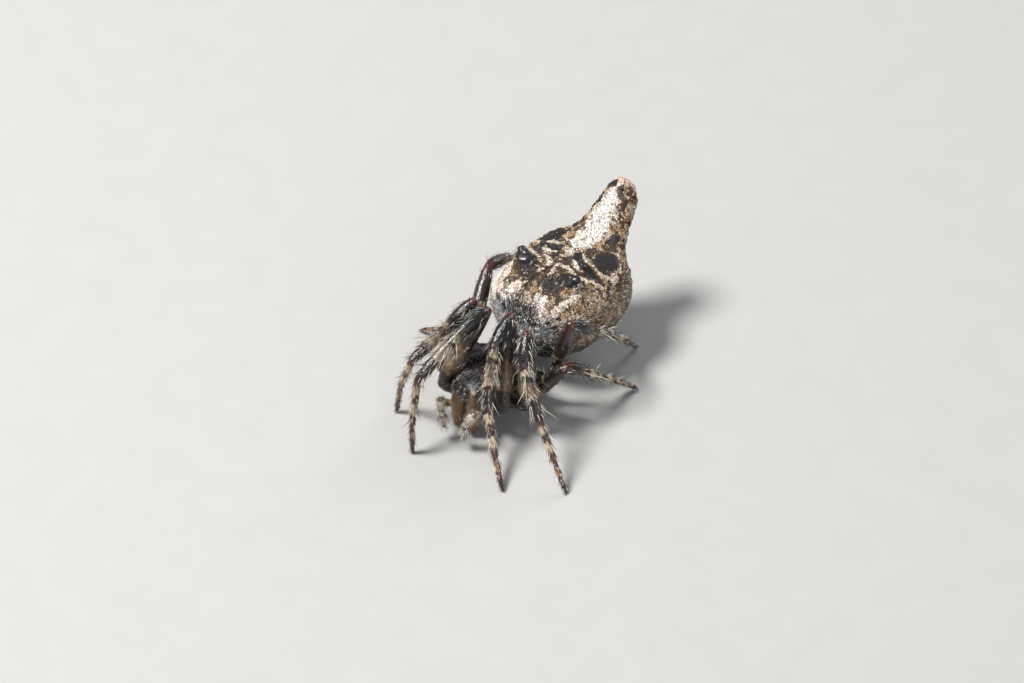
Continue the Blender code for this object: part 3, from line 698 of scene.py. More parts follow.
def paint_folds(paint, at):
    """Pale folds that link the humps, with bare strips beside them."""
    folds = np.maximum(at.stroke(RIDGE, 0.060), at.stroke(REAR_RIDGE, 0.05) * 0.8)
    folds = np.maximum(folds, at.stroke(FRONT_RIDGE, 0.085)) * at.back
    folds = np.maximum(folds, at.stroke(RIM, 0.05) * ramp(at.rise, 0.0, 0.3))
    paint.tint(FOLD_CREAM, folds * 0.85)
    paint.cover_to(0.88, folds * 0.85)
    behind = at.stroke([(t + 0.11, max(0.0, a - 0.11)) for t, a in RIDGE], 0.06)
    ahead = at.stroke([(t - 0.10, a + 0.08) for t, a in RIDGE[:5]], 0.06)
    paint.cover = paint.cover - np.maximum(behind, ahead) * at.back * (1 - folds) * 0.34
    return folds


def paint_humps(paint, at, folds):
    """Black humps, and the dark patches behind and between them."""
    third = at.spot((2.72, 0.95), (0.37, 0.28))
    black = at.stroke(FIRST_HUMP_BLACK, 0.215, 0.15)
    black = np.maximum(black, at.stroke(SECOND_HUMP_BLACK, 0.125, 0.2))
    black = np.maximum(black, third * 0.72) * at.back
    shade = np.maximum(at.spot((1.10, 0.38), (0.26, 0.26), 0.4) * 0.80, third)
    shade = np.maximum(shade, at.spot((2.05, 0.20), (0.14, 0.12), 0.5) * 0.7)
    shade = shade * ramp(at.rise, 0.1, 0.4) * (1 - at.tail)
    paint.cover_to(0.10, shade)
    paint.tint(SHADED_GOLD, shade * 0.6 * (1 - folds))
    paint.base(BLACK, np.maximum(black, shade))
    paint.cover_to(0.0, black)
    paint.rough = paint.rough - 0.21 * black * (1 - third)
    return black


def paint_flanks(paint, at):
    """Golden brown flanks, darker at the rear, a frosted front and the pale right shoulder."""
    flank = (1 - at.above) * (1 - at.below) * (1 - at.tail)
    rear_flank = flank * spot(at.t2, at.rise, (2.85, 0.10), (0.50, 0.45), 0.4)
    paint.cover = paint.cover - 0.48 * rear_flank - 0.14 * flank
    front_face = ramp(at.t + 0.06 * warp_a(at.points), 0.46, 0.22)
    paint.cover_to(0.34, front_face)
    paint.tint(FROST, front_face * 0.9)
    paint.base(BLACK, front_face)
    shoulder = white_shoulder(at.t2, at.a, at.rise) * (1 - front_face)
    paint.tint(SHOULDER_WHITE, shoulder * 0.9)
    paint.base(SHOULDER_GREY, shoulder)
    paint.cover_to(0.95, shoulder)
    paint.tint(FLANK_TAN, flank * ramp(patches(at.points[:, [2, 1, 0]]), 0.1, 0.8) * 0.8)
    return flank


def paint_underside(paint, at):
    """A black underside with a pair of white spots and the tan covers of the book lungs."""
    paint.base(BLACK, at.below)
    paint.cover_to(0.07, at.below)
    pale_pair = at.spot((1.55, 0.45), (0.22, 0.14), 0.3) * at.below
    paint.tint(WHITE, pale_pair)
    paint.cover_to(0.85, pale_pair)
    covers = at.spot((0.70, 0.48), (0.26, 0.26), 0.3) * ramp(at.rise, -0.2, -0.5)
    paint.tint(TAN, covers * 0.7)
    paint.cover_to(0.60, covers * 0.6)


def paint_tail(paint, at, stripe):
    """Tan and brown grains at the tail's sides, black blotches near its end and a pale tip."""
    sides = at.tail * (1 - stripe)
    paint.tint(TAN, sides * 0.6 * ramp(patches(at.points[:, [1, 2, 0]]), -0.6, 0.5))
    paint.cover = paint.cover + sides * 0.06 - 0.25 * at.tail * ramp(at.rise, 0.1, -0.5)
    paint.base(TAIL_BROWN, sides)
    off = at.a + 0.04 * warp_a(at.points)
    blotch = spot(at.t2, off, (4.28, 0.07), (0.12, 0.15), 0.3)
    blotch = np.maximum(blotch, spot(at.t2, off, (4.40, -0.28), (0.13, 0.12), 0.3))
    blotch = np.maximum(blotch, at.spot((3.40, 0.62), (0.20, 0.10), 0.4))
    blotch = np.maximum(blotch, at.spot((4.05, 0.42), (0.14, 0.10), 0.5) * 0.7) * at.tail
    paint.cover_to(0.0, 0.92 * blotch)
    paint.base(BLACK, blotch)
    tip = ramp(at.t, 4.42, 4.56) * ramp(at.rise, -0.2, 0.4)
    paint.tint(TIP_TAN, tip)
    paint.cover_to(0.88, tip)
    paint.base(TIP_BROWN, tip)


def abdomen_paint(points):
    at = AbdomenPlaces(points)
    cover = 0.60 + 0.16 * patches(points) + 0.12 * small_patches(points)
    paint = Paint(len(points), GOLD, BROWN, cover, 0.52)
    paint.tint(TAN, ramp(patches(points[:, [2, 0, 1]]), 0.0, 0.9) * 0.7)
    paint.tint(GREY, ramp(small_patches(points[:, [1, 0, 2]]), 0.55, 1.1) * 0.8)
    stripe, white, front_edge = paint_whites(paint, at)
    folds = paint_folds(paint, at)
    specks = ramp(small_patches(points * 1.7), 0.45, 0.85) * at.spot((1.05, 0.75), (0.60, 0.55))
    paint.tint(AMBER, specks * at.back * (1 - white) * (1 - front_edge))
    black = paint_humps(paint, at, folds)
    flank = paint_flanks(paint, at)
    paint_underside(paint, at)
    paint_tail(paint, at, stripe)
    paint.base(UNDER_WHITE, np.maximum(white, front_edge) * (1 - black) * 0.8)
    spinning = spot(at.t, at.a, (SPINNERETS_AT, 0.0), (0.42, 0.36), 0.2) * ramp(at.rise, -0.75, -0.95)
    paint.base(BROWN, spinning)
    paint.cover_to(0.0, spinning)
    return paint.grains, paint.ground, np.clip(paint.cover, 0, 1), 1 - 0.30 * flank, paint.rough


def plain_cuticle(colour, rough):
    """The five values of cuticle that has no grains."""
    none = np.zeros(len(colour))
    return colour, colour, none + 1.0, none, none + rough


def body_paint(points):
    colour = np.tile(NEAR_BLACK, (len(points), 1))
    head = ramp(points[:, 1], 0.85, 0.55)
    colour = blend(colour, DUSKY_BLACK, ramp(patches(points), 0.1, 0.8) * 0.6)
    colour = blend(colour, MARGIN_BROWN, ramp(np.abs(points[:, 2] - 1.10), 0.10, 0.02) * (1 - head))
    colour = blend(colour, STERNUM_BROWN, ramp(points[:, 2], 0.80, 0.62))
    return plain_cuticle(colour, 0.30)


def limb_paint(points, part, pair, share, angle):
    """Bands along a leg or palp, with uneven edges and paler undersides."""
    bands = PALP_BANDS if part.startswith("palp") else (FRONT_BANDS if pair < 3 else REAR_BANDS)
    if part == "chelicera":
        colour = blend(np.tile(OLIVE, (len(points), 1)), JAW_BROWN, ramp(share, 0.1, 0.6))
        return plain_cuticle(blend(colour, DARK_RED, ramp(share, 0.80, 1.0) * 0.7), 0.26)
    if part not in bands:
        return plain_cuticle(np.tile(ENDITE_BROWN, (len(points), 1)), 0.35)
    held = share + 0.030 * band_warp(points) + 0.018 * np.cos(angle)
    colour = np.tile(bands[part][0][1], (len(points), 1)).astype(float)
    for (edge, _), (_, following) in zip(bands[part], bands[part][1:]):
        colour = blend(colour, following, ramp(held, edge - BAND_EDGE, edge + BAND_EDGE))
    if pair in (1, 2) and part in UPPER_STRIPE:
        stripe = ramp(np.cos(angle) + 0.22 * band_warp(points), 0.30, 0.72) * ramp(share, 0.75, 0.45)
        colour = blend(colour, NEAR_BLACK, stripe * UPPER_STRIPE[part])
    colour = colour * (1 + 0.22 * small_patches(points))[:, None]
    colour = blend(colour, colour * 1.25 + 0.01, ramp(np.cos(angle), -0.2, -0.9) * 0.6)
    return plain_cuticle(np.clip(colour, 0.004, 0.9), 0.17)


def skin_paint(points, tubes, number, share, angle):
    """The five values of each marking for the whole skin."""
    count = len(points)
    values = [np.zeros((count, 3)), np.zeros((count, 3)), np.zeros(count), np.zeros(count), np.zeros(count)]
    t = abdomen_local(points)[0]

    def fill(chosen, painted):
        for value, part in zip(values, painted):
            value[chosen] = part

    rest = number < 0
    chosen = np.flatnonzero(rest & (t > WAIST_T))
    fill(chosen, abdomen_paint(points[chosen]))
    chosen = np.flatnonzero(rest & (t <= WAIST_T))
    fill(chosen, body_paint(points[chosen]))
    for i, tube in enumerate(tubes):
        chosen = np.flatnonzero(number == i)
        if len(chosen):
            pair = int(tube.limb[4]) if tube.limb.startswith("leg") else 0
            fill(chosen, limb_paint(points[chosen], tube.part, pair, share[chosen], angle[chosen]))
    return values


class Shading:
    """A new material's nodes, with short ways to add and link them."""

    def __init__(self, name):
        self.material = bpy.data.materials.new(name)
        self.material.use_nodes = True
        self.nodes = self.material.node_tree.nodes
        self.shader = self.nodes["Principled BSDF"]
        self.place = self.node("ShaderNodeTexCoord").outputs["Object"]

    def fill(self, socket, value):
        """Sets a socket to a plain value, or links it to another node's output."""
        if isinstance(value, bpy.types.NodeSocket):
            self.material.node_tree.links.new(value, socket)
        else:
            socket.default_value = value

    def node(self, kind, inputs=(), **settings):
        made = self.nodes.new(kind)
        for name, value in settings.items():
            setattr(made, name, value)
        for name, value in dict(inputs).items():
            self.fill(made.inputs[name], value)
        return made

    def attribute(self, name, output="Color"):
        return self.node("ShaderNodeAttribute", attribute_name=name).outputs[output]

    def noise(self, scale, detail=2.0, roughness=0.5):
        inputs = {"Vector": self.place, "Scale": scale, "Detail": detail, "Roughness": roughness}
        return self.node("ShaderNodeTexNoise", inputs).outputs

    def math(self, operation, *values, clamp=False):
        made = self.node("ShaderNodeMath", operation=operation, use_clamp=clamp)
        for socket, value in zip(made.inputs, values):
            self.fill(socket, value)
        return made.outputs[0]

    def toned(self, colour, factor):
        return self.node("ShaderNodeVectorMath", {0: colour, "Scale": factor}, operation="SCALE").outputs[0]

    def mix(self, share, first, second):
        made = self.node("ShaderNodeMix", data_type="RGBA")
        colours = [socket for socket in made.inputs if socket.type == "RGBA"]
        for socket, value in zip((made.inputs["Factor"], *colours), (share, first, second)):
            self.fill(socket, value)
        return next(socket for socket in made.outputs if socket.type == "RGBA")

    def finish(self, values):
        """Fills the shader's own sockets and gives the material."""
        for name, value in values.items():
            self.fill(self.shader.inputs[name], value)
        return self.material


GRAINS_PER_METRE = 16000.0
GRAIN_WOBBLE = 0.000022
BUMP_DEPTH = 0.000012


def grains(made, cover, colour, ground):
    """How much of a grain shows at each place, and the colour there, of grains over their ground."""
    shift = made.toned(made.noise(9000.0, 1.0)["Color"], GRAIN_WOBBLE)
    moved = made.node("ShaderNodeVectorMath", {0: made.place, 1: shift}, operation="ADD").outputs[0]
    where = {"Vector": moved, "Scale": GRAINS_PER_METRE}
    cells = made.node("ShaderNodeTexVoronoi", where, feature="F1").outputs
    edges = made.node("ShaderNodeTexVoronoi", where, feature="DISTANCE_TO_EDGE").outputs
    draws = made.node("ShaderNodeSeparateColor", {0: cells["Color"]}).outputs

    # A grain shows where a number of its own, drawn towards that of its neighbours, is under the cover
    crowd = made.noise(7500.0, 2.0, 0.6)["Fac"]
    own = made.math("MULTIPLY_ADD", draws[0], 0.5, made.math("MULTIPLY_ADD", crowd, 2.4, -0.95))
    lit = made.math("SUBTRACT", made.math("MULTIPLY_ADD", cover, 1.30, -0.12), own)
    lit = made.math("MULTIPLY", lit, 5.0, clamp=True)
    rim = made.math("MULTIPLY", edges["Distance"], 6.0, clamp=True)
    reach = made.math("MULTIPLY_ADD", cover, 0.55, 0.50)
    round_off = made.math("MULTIPLY", made.math("SUBTRACT", reach, cells["Distance"]), 4.0, clamp=True)
    grain = made.math("MULTIPLY", made.math("MULTIPLY", lit, rim), round_off)
    tone = made.math("MULTIPLY_ADD", draws[1], 0.55, 0.70)
    return grain, made.mix(grain, ground, made.toned(colour, tone))


def skin_material():
    """Grains of guanine over dark cuticle on the abdomen, and glossy banded cuticle elsewhere."""
    made = Shading("cuticle")
    colour, ground = (made.attribute(name) for name in ("grain_colour", "ground_colour"))
    cover, grained, rough = (made.attribute(name, "Fac") for name in ("cover", "grain", "rough"))
    fine = made.noise(26000.0, 3.0, 0.6)["Fac"]
    grain, speckled = grains(made, cover, colour, ground)
    plain = made.toned(colour, made.math("MULTIPLY_ADD", fine, 0.9, 0.55))
    height = made.math("MULTIPLY", made.math("MULTIPLY", grain, grained), 0.7)
    bump = made.node("ShaderNodeBump", {
        "Height": made.math("ADD", height, fine),
        "Strength": made.math("MULTIPLY_ADD", grained, -0.55, 0.95),
        "Distance": BUMP_DEPTH,
    }).outputs["Normal"]
    return made.finish({
        "Base Color": made.mix(grained, plain, speckled),
        "Roughness": made.math("MULTIPLY_ADD", fine, 0.20, rough),
        "Specular IOR Level": 0.32,
        "Coat Weight": made.math("MULTIPLY_ADD", rough, -2.2, 1.05, clamp=True),
        "Coat Roughness": 0.13,
        "Subsurface Weight": 0.10,
        "Subsurface Radius": (0.00012, 0.00006, 0.00003),
        "Subsurface Scale": 1.0,
        "Normal": bump,
        "Coat Normal": bump,
    })


def hair_material():
    """Bristles: their own colour, a little uneven along each, with a soft gloss."""
    made = Shading("bristle")
    tone = made.math("MULTIPLY_ADD", made.noise(9000.0, 1.0)["Fac"], 0.5, 0.75)
    colour = made.toned(made.attribute("hair_colour"), tone)
    return made.finish({"Base Color": colour, "Roughness": 0.38, "Specular IOR Level": 0.6})


def eye_material():
    """Black, very smooth lenses with a faint brown depth."""
    made = Shading("eye_lens")
    colour = made.mix(made.noise(14000.0, 1.0)["Fac"], (0.004, 0.004, 0.005, 1.0), (0.016, 0.010, 0.008, 1.0))
    gloss = {"Roughness": 0.05, "Specular IOR Level": 0.8, "Coat Weight": 1.0, "Coat Roughness": 0.03}
    return made.finish({"Base Color": colour, **gloss})


def horn_material():
    """Fangs and claws: smooth dark red brown, unevenly darkened."""
    made = Shading("fang_and_claw")
    colour = made.mix(made.noise(20000.0)["Fac"], made.attribute("hair_colour"), (0.02, 0.008, 0.005, 1.0))
    return made.finish({"Base Color": colour, "Roughness": 0.16})


def floor_material():
    made = Shading("studio_floor")
    colour = made.mix(made.noise(900.0, 4.0)["Fac"], (0.37, 0.366, 0.355, 1.0), (0.40, 0.396, 0.385, 1.0))
    return made.finish({"Base Color": colour, "Roughness": 0.7})


def write_attribute(mesh, name, values):
    values = np.asarray(values, float)
    if values.ndim == 2:
        layer = mesh.attributes.new(name, "FLOAT_COLOR", "POINT")
        layer.data.foreach_set("color", np.c_[values, np.ones(len(values))].ravel())
    else:
        layer = mesh.attributes.new(name, "FLOAT", "POINT")
        layer.data.foreach_set("value", values)


def carapace_relief(points, normals):
    """Grooves of the carapace: behind the head, from the middle pit outwards, and the pit itself."""
    x, y = np.abs(points[:, 0]), points[:, 1]
    top = ramp(normals[:, 2], 0.15, 0.6)
    pit = stroke(y, x, ((1.58, 0.0), (1.86, 0.0)), 0.07, 0.9) * 0.075
    neck = stroke(y, x, ((1.50, 0.05), (1.20, 0.28), (0.92, 0.55)), 0.07, 0.9) * 0.045
    rays = np.zeros(len(points))
    for end in ((1.22, 0.80), (1.62, 0.88), (2.02, 0.68)):
        rays = np.maximum(rays, stroke(y, x, ((1.70, 0.10), end), 0.06, 0.9))
    return -(pit + neck + rays * 0.028) * top * ramp(y, 0.7, 0.9)


def abdomen_relief(points, normals):
    """Raised folds between the humps, wrinkles across the tail and small lumps all over."""
    t, a, h = abdomen_local(points)
    t2 = t + 0.02 * warp_t(points)
    a2 = np.abs(a - HUMP_MIDDLE + 0.02 * warp_a(points))
    top = ramp(normals[:, 2], 0.1, 0.5) * ramp(t, 3.2, 3.0)
    folds = np.maximum(stroke(t2, a2, RIDGE, 0.07, 0.8), stroke(t2, a2, FRONT_RIDGE, 0.08, 0.8))
    folds = np.maximum(folds, stroke(t2, a2, REAR_RIDGE, 0.07, 0.8)) * top
    trough = stroke(t2, a2, [(t + 0.13, max(0.0, a - 0.13)) for t, a in RIDGE], 0.07, 0.8) * top * (1 - folds)
    rim = stroke(t2, a2, RIM, 0.06, 0.8) * ramp(h, 2.0, 2.3)
    tail = ramp(t, 3.3, 3.6)
    wrinkles = np.sin(2 * math.pi * (t + 0.55 * h + 0.05 * warp_t(points)) / 0.24) * tail
    smooth = np.zeros(len(points))
    for hump_t, hump_a, _, radius in HUMPS:
        smooth = np.maximum(smooth, spot(t, np.abs(a - HUMP_MIDDLE), (hump_t, hump_a), (radius, radius), 0.5))
    lumps = (0.009 * small_patches(points) + 0.005 * fine_warp(points)) * (1 - 0.75 * smooth)
    return 0.042 * folds - 0.030 * trough + 0.030 * rim + 0.007 * wrinkles + lumps


def build_skin(tubes):
    """One closed skin over body, limbs and abdomen, with its relief and markings."""
    shells = [body_shell(), abdomen_shell(), ball_shell(*MEDIAN_EYE_MOUND)]
    for side in SIDES:
        mound, radius = LATERAL_EYE_MOUND
        shells.append(ball_shell(mirrored(mound, side), radius))
    waist = Tube("waist", "body", *WAIST_ENDS, WAIST_SHAPE)
    scape = abdomen_place(EPIGYNE_AT, 0.0, 0.50)
    knob = Tube("epigyne", "abdomen", scape + UP * 0.2, scape - UP * 0.03, ((0.0, 1.0), (0.16, 0.08)))
    shells += [tube.shell() for tube in tubes + hump_tubes() + spinneret_tubes() + [waist, knob]]
    points, faces = remeshed(shells)
    number, share, angle = nearest_tubes(points, tubes)
    on_abdomen = (number < 0) & (abdomen_local(points)[0] > WAIST_T)
    points = relaxed(points, faces, 3, np.ones(len(points)))
    points = relaxed(points, faces, 8, np.where(on_abdomen, 1.0, 0.0))
    normals = normals_of(points, faces)
    relief = np.zeros(len(points))
    relief[on_abdomen] = abdomen_relief(points[on_abdomen], normals[on_abdomen])
    on_body = (number < 0) & ~on_abdomen
    relief[on_body] = carapace_relief(points[on_body], normals[on_body])
    points = points + normals * relief[:, None]
    normals = normals_of(points, faces)

    skin = mesh_object("skin", place(points), faces.tolist())
    values = skin_paint(points, tubes, number, share, angle)
    for name, value in zip(("grain_colour", "ground_colour", "cover", "grain", "rough"), values):
        write_attribute(skin.data, name, value)
    skin.data.materials.append(skin_material())
    return skin, points, normals, faces, number


class Coat:
    """Collects bristles and turns them into one mesh: tapered and bent, with three sides each."""

    def __init__(self, name):
        self.name = name
        self.batches = []

    def add(self, roots, leans, bends, lengths, widths, colours, spots, levels=3):
        """Roots and directions of bristles, the way each bends, its size, colour and place on the map."""
        self.batches.append((roots, unit(leans), bends, lengths, widths, colours, spots, levels))

    def finish(self, material, slot):
        points, faces, colours, spots, count = [], [], [], [], 0
        for roots, leans, bends, lengths, widths, tints, places, levels in self.batches:
            number = len(roots)
            aside = unit(np.cross(leans, np.where(np.abs(leans[:, 2:3]) < 0.9, UP, [1.0, 0, 0])))
            over = np.cross(aside, leans)
            rings = []
            for level in range(levels):
                share = level / levels
                centre = roots + (leans * share + bends * share * share) * lengths[:, None]
                half = (widths * 0.5 * (1 - share) ** 0.7)[:, None]
                for corner in range(3):
                    turn = 2 * math.pi * corner / 3
                    rings.append(centre + (aside * math.cos(turn) + over * math.sin(turn)) * half)
            rings.append(roots + (leans + bends) * lengths[:, None])
            per = len(rings)
            points.append(np.stack(rings, axis=1).reshape(-1, 3))
            shape = [(0, 2, 1)]
            for level in range(levels - 1):
                low, high = level * 3, level * 3 + 3
                for i in range(3):
                    k = (i + 1) % 3
                    shape += [(low + i, low + k, high + k), (low + i, high + k, high + i)]
            last = (levels - 1) * 3
            shape += [(last, last + 1, per - 1), (last + 1, last + 2, per - 1), (last + 2, last, per - 1)]
            starts = count + per * np.arange(number)
            faces.append((starts[:, None, None] + np.array(shape)[None]).reshape(-1, 3))
            colours.append(np.repeat(tints, per, axis=0))
            heights = np.array([level / levels for level in range(levels) for _ in range(3)] + [1.0])
            turns = np.array([corner / 3 for _ in range(levels) for corner in range(3)] + [0.5])
            patch = np.stack([turns, heights], axis=1) * PATCH
            spots.append((places[:, None, :] + patch[None]).reshape(-1, 2))
            count += per * number
        points, faces = np.concatenate(points), np.concatenate(faces)
        made = mesh_object(self.name, place(points), faces.tolist())
        write_attribute(made.data, "hair_colour", np.concatenate(colours))
        layer = made.data.uv_layers.new(name="OFBake")
        corners = np.empty(len(made.data.loops), int)
        made.data.loops.foreach_get("vertex_index", corners)
        layer.data.foreach_set("uv", np.clip(np.concatenate(spots)[corners], 0, 1).ravel())
        made.data.materials.append(material)
        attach(made, "root")
        return made


PATCH = 0.003
ROOT_DEPTH = 0.012
# Bristles for each mm of leg, and their usual length and the angle they stand off at
LEG_COAT = {
    "trochanter": (50, 0.12, 28),
    "femur": (70, 0.14, 24),
    "patella": (130, 0.19, 28),
    "tibia": (122, 0.22, 32),
    "metatarsus": (100, 0.165, 31),
    "tarsus": (150, 0.12, 27),
}
BRISTLE_WIDTH = 0.0145
# Long spines for each segment: how many, their length, and the angle they stand off at
LEG_SPINES = {
    "femur": (3, 0.26, 44),
    "patella": (3, 0.34, 48),
    "tibia": (6, 0.42, 46),
    "metatarsus": (4, 0.28, 38),
}
SPINE_WIDTH = 0.022
ABDOMEN_HAIRS = 17000
ABDOMEN_HAIR_WIDTH = 0.0095
BODY_HAIRS = 3400
BODY_HAIR_WIDTH = 0.013
PALP_HAIRS_PER_MM = 250
JAW_HAIRS_PER_MM = 60


def pick_colours(draw, count, choices):
    """One of several colours for each bristle, by weight, each a little lighter or darker."""
    weights = np.array([weight for weight, _ in choices], float)
    chosen = draw.choice(len(choices), count, p=weights / weights.sum())
    tints = np.array([colour for _, colour in choices])[chosen]
    return np.clip(tints * draw.uniform(0.75, 1.2, (count, 1)), 0, 1)


def map_places(along, angle):
    """Places on the map by the share of the way along and the angle round."""
    return np.stack([along, (angle / math.pi + 1) / 2], axis=1).clip(0, 1) * (1 - PATCH)


def standing(axis, out, lift):
    """Directions along an axis, lifted off it by an angle."""
    return axis * np.cos(lift)[:, None] + out * np.sin(lift)[:, None]


def limb_coat(coat, tubes, draw, pair):
    """Bristles along a leg, leaning to its end, pale over pale bands and mixed over dark ones."""
    count_tubes = len(tubes)
    for i, tube in enumerate(tubes):
        if tube.part not in LEG_COAT:
            continue
        density, length, off = LEG_COAT[tube.part]
        number = int(density * tube.length)
        share = draw.uniform(0.02, 0.99, number)
        angle = draw.uniform(-math.pi, math.pi, number)
        roots, out = tube.surface(share, angle)
        roots -= out * ROOT_DEPTH
        lift = np.radians(off + draw.normal(0, 9, number)).clip(0.15, 1.3)
        sway = draw.normal(0, 0.16, (number, 3))
        leans = standing(tube.axis, out, lift) + sway
        bends = tube.axis * 0.22 - out * 0.10
        lengths = length * draw.uniform(0.6, 1.35, number) * (0.85 if pair > 2 else 1.0)
        lengths *= 0.85 + 0.35 * np.abs(np.sin(angle))
        floor_reach = (roots[:, 2] - 0.006) / np.maximum(-unit(leans)[:, 2] - 0.3 * tube.axis[2], 0.01)
        lengths = np.where(tube.part == "tarsus", np.minimum(lengths, floor_reach), lengths)
        widths = BRISTLE_WIDTH * draw.uniform(0.7, 1.25, number)
        skin = limb_paint(roots, tube.part, pair, share, angle)[0]
        light = skin.mean(axis=1) + 0.10 * (np.abs(np.sin(angle)) > 0.55) * draw.uniform(0, 1.6, number)
        dark_share = 2.4 if pair < 3 else 6.0
        pale_mix = ((4.5, PALE_HAIR), (2, WHITE_HAIR), (dark_share, DARK_HAIR), (1, ORANGE))
        pale = pick_colours(draw, number, pale_mix)
        dark_mix = ((1.2, PALE_HAIR), (2.5 * dark_share, DARK_HAIR))
        # Over dark bands some bristles are bluish white: pale setae with a painted reflection
        if tube.part != "femur":
            dark_mix = ((2.2, BLUE_GLINT_HAIR), *dark_mix)
        dark = pick_colours(draw, number, dark_mix)
        tints = np.where((light > 0.10)[:, None], pale, dark)
        spots = map_places((i + share) / count_tubes, angle)
        coat.add(roots, leans, bends, lengths, widths, tints, spots)
        if tube.part in LEG_SPINES:
            number, length, off = LEG_SPINES[tube.part]
            share = np.linspace(0.12, 0.93, number) + draw.normal(0, 0.03, number)
            angle = draw.uniform(-2.2, 2.2, number)
            roots, out = tube.surface(share.clip(0.03, 0.98), angle)
            lift = np.radians(off + draw.normal(0, 6, number))
            leans = standing(tube.axis, out, lift)
            lengths = length * draw.uniform(0.8, 1.25, number)
            tints = pick_colours(draw, number, ((2, PALE_HAIR), (3, DARK_HAIR)))
            spots = map_places((i + share) / count_tubes, angle)
            widths = np.full(number, SPINE_WIDTH)
            coat.add(roots - out * ROOT_DEPTH, leans, tube.axis * 0.15, lengths, widths, tints, spots, 5)


def surface_roots(points, normals, faces, chosen, number, draw):
    """Random places over chosen faces of the skin, with the directions out of it there."""
    picked = faces[chosen]
    area = np.linalg.norm(face_crosses(points, picked), axis=1)
    rows = picked[draw.choice(len(picked), number, p=area / area.sum())]
    u, v = draw.uniform(0, 1, (2, number, 1))
    weights = ((1 - u) * (1 - v), u * (1 - v), u * v, (1 - u) * v)
    roots = sum(weight * points[rows[:, k]] for k, weight in enumerate(weights))
    out = unit(sum(weight * normals[rows[:, k]] for k, weight in enumerate(weights)))
    return roots, out


def lying(direction, out, off):
    """A direction laid onto the surface and then lifted off it by an angle in degrees."""
    flat = unit(direction - out * (direction * out).sum(axis=1, keepdims=True))
    return standing(flat, out, np.radians(off))


WAIST_AT = (0.0, 2.55, 1.20)


def abdomen_coat(points, normals, faces, where, draw):
    """Short pale hairs that lie back along the abdomen, thickest on its front and flanks."""
    roots, out = surface_roots(points, normals, faces, where, ABDOMEN_HAIRS, draw)
    t, a, h = abdomen_local(roots)
    colour, _, cover, _, _ = abdomen_paint(roots)
    rise = abdomen_rise(t, h)
    tail = ramp(t, 3.1, 3.5)
    flank = ramp(rise, 0.75, 0.35)
    front = ramp(t, 0.8, 0.3)
    thick = 0.26 + 0.70 * np.maximum(0.65 * flank * (1 - tail), front)
    bare = np.maximum(white_shoulder(t, a, rise), ramp(cover, 0.25, 0.05) * (1 - flank) * (1 - front))
    keep = draw.uniform(0, 1, ABDOMEN_HAIRS) < thick * (1 - 0.9 * bare)
    keep &= rise > -0.95
    roots, out, t, a, colour = (value[keep] for value in (roots, out, t, a, colour))
    cover, rise, flank, front, tail = (value[keep] for value in (cover, rise, flank, front, tail))
    number = len(roots)
    away = unit(roots - np.array(WAIST_AT)) * front[:, None]
    climb = 0.65 * tail - 0.15 * flank * (1 - front)
    direction = ABDOMEN_BACK * (1 - front)[:, None] + away + UP * climb[:, None]
    direction = direction + draw.normal(0, 0.14, (number, 3))
    leans = lying(direction, out, 18 + 8 * front + draw.normal(0, 6, number))
    lengths = (0.09 + 0.07 * np.maximum(front, 0.7 * flank)) * draw.uniform(0.6, 1.3, number)
    lengths *= 1 - 0.25 * tail
    widths = ABDOMEN_HAIR_WIDTH * draw.uniform(0.75, 1.25, number)
    white = pick_colours(draw, number, ((5, WHITE_HAIR), (3, PALE_HAIR), (1, TAN_HAIR)))
    # The bluish white among the front hairs is partly a painted reflection
    frosty = pick_colours(draw, number, ((5, BLUE_GLINT_HAIR), (4, WHITE_HAIR), (0.6, DARK_HAIR)))
    white = np.where((front > 0.5)[:, None], frosty, white)
    dark = pick_colours(draw, number, ((1, WHITE_HAIR), (2, BROWN_HAIR), (4, DARK_HAIR)))
    pale_share = 0.45 + 0.45 * np.maximum(front, 0.75 * flank)
    tints = np.where((draw.uniform(0, 1, number) < pale_share)[:, None], white, dark)
    round_about = np.arctan2(roots[:, 2] - curve_values(t, ABDOMEN_T, ABDOMEN_WIDEST), a)
    spots = map_places(t / ABDOMEN_T[-1], round_about)
    coat = Coat("hairs_abdomen")
    coat.add(roots - out * ROOT_DEPTH, leans, -out * 0.10, lengths, widths, tints, spots, 2)
    return coat


def body_coat(points, normals, faces, where, draw):
    """Short bluish white hairs on the head, thinner over the rest, lying forwards and inwards; their bluish
    white is partly painted reflection.
    """
    roots, out = surface_roots(points, normals, faces, where, BODY_HAIRS, draw)
    head = ramp(roots[:, 1], 1.00, 0.60)
    keep = (draw.uniform(0, 1, BODY_HAIRS) < 0.30 + 0.70 * head) & (roots[:, 1] < 2.3)
    near_eye = np.zeros(BODY_HAIRS, bool)
    for centre in EYES.values():
        for side in SIDES:
            near_eye |= np.linalg.norm(roots - mirrored(centre, side), axis=1) < EYE_RADIUS * 1.35
    keep &= ~near_eye
    roots, out, head = roots[keep], out[keep], head[keep]
    number = len(roots)
    direction = np.stack([-0.5 * roots[:, 0], -np.ones(number), np.full(number, 0.2)], axis=1)
    leans = lying(direction + draw.normal(0, 0.25, (number, 3)), out, 24 + draw.normal(0, 8, number))
    lengths = (0.11 + 0.05 * head) * draw.uniform(0.6, 1.3, number)
    widths = BODY_HAIR_WIDTH * draw.uniform(0.75, 1.25, number)
    # Bluish white hairs are pale setae with a painted reflection
    tints = pick_colours(draw, number, ((5, BLUE_GLINT_HAIR), (3, WHITE_HAIR), (2, DARK_HAIR)))
    round_about = np.arctan2(roots[:, 2] - 1.1, roots[:, 0])
    spots = map_places(roots[:, 1] / BODY_Y[-1], round_about)
    coat = Coat("hairs_cephalothorax")
    coat.add(roots - out * ROOT_DEPTH, leans, -out * 0.08, lengths, widths, tints, spots, 2)
    return coat


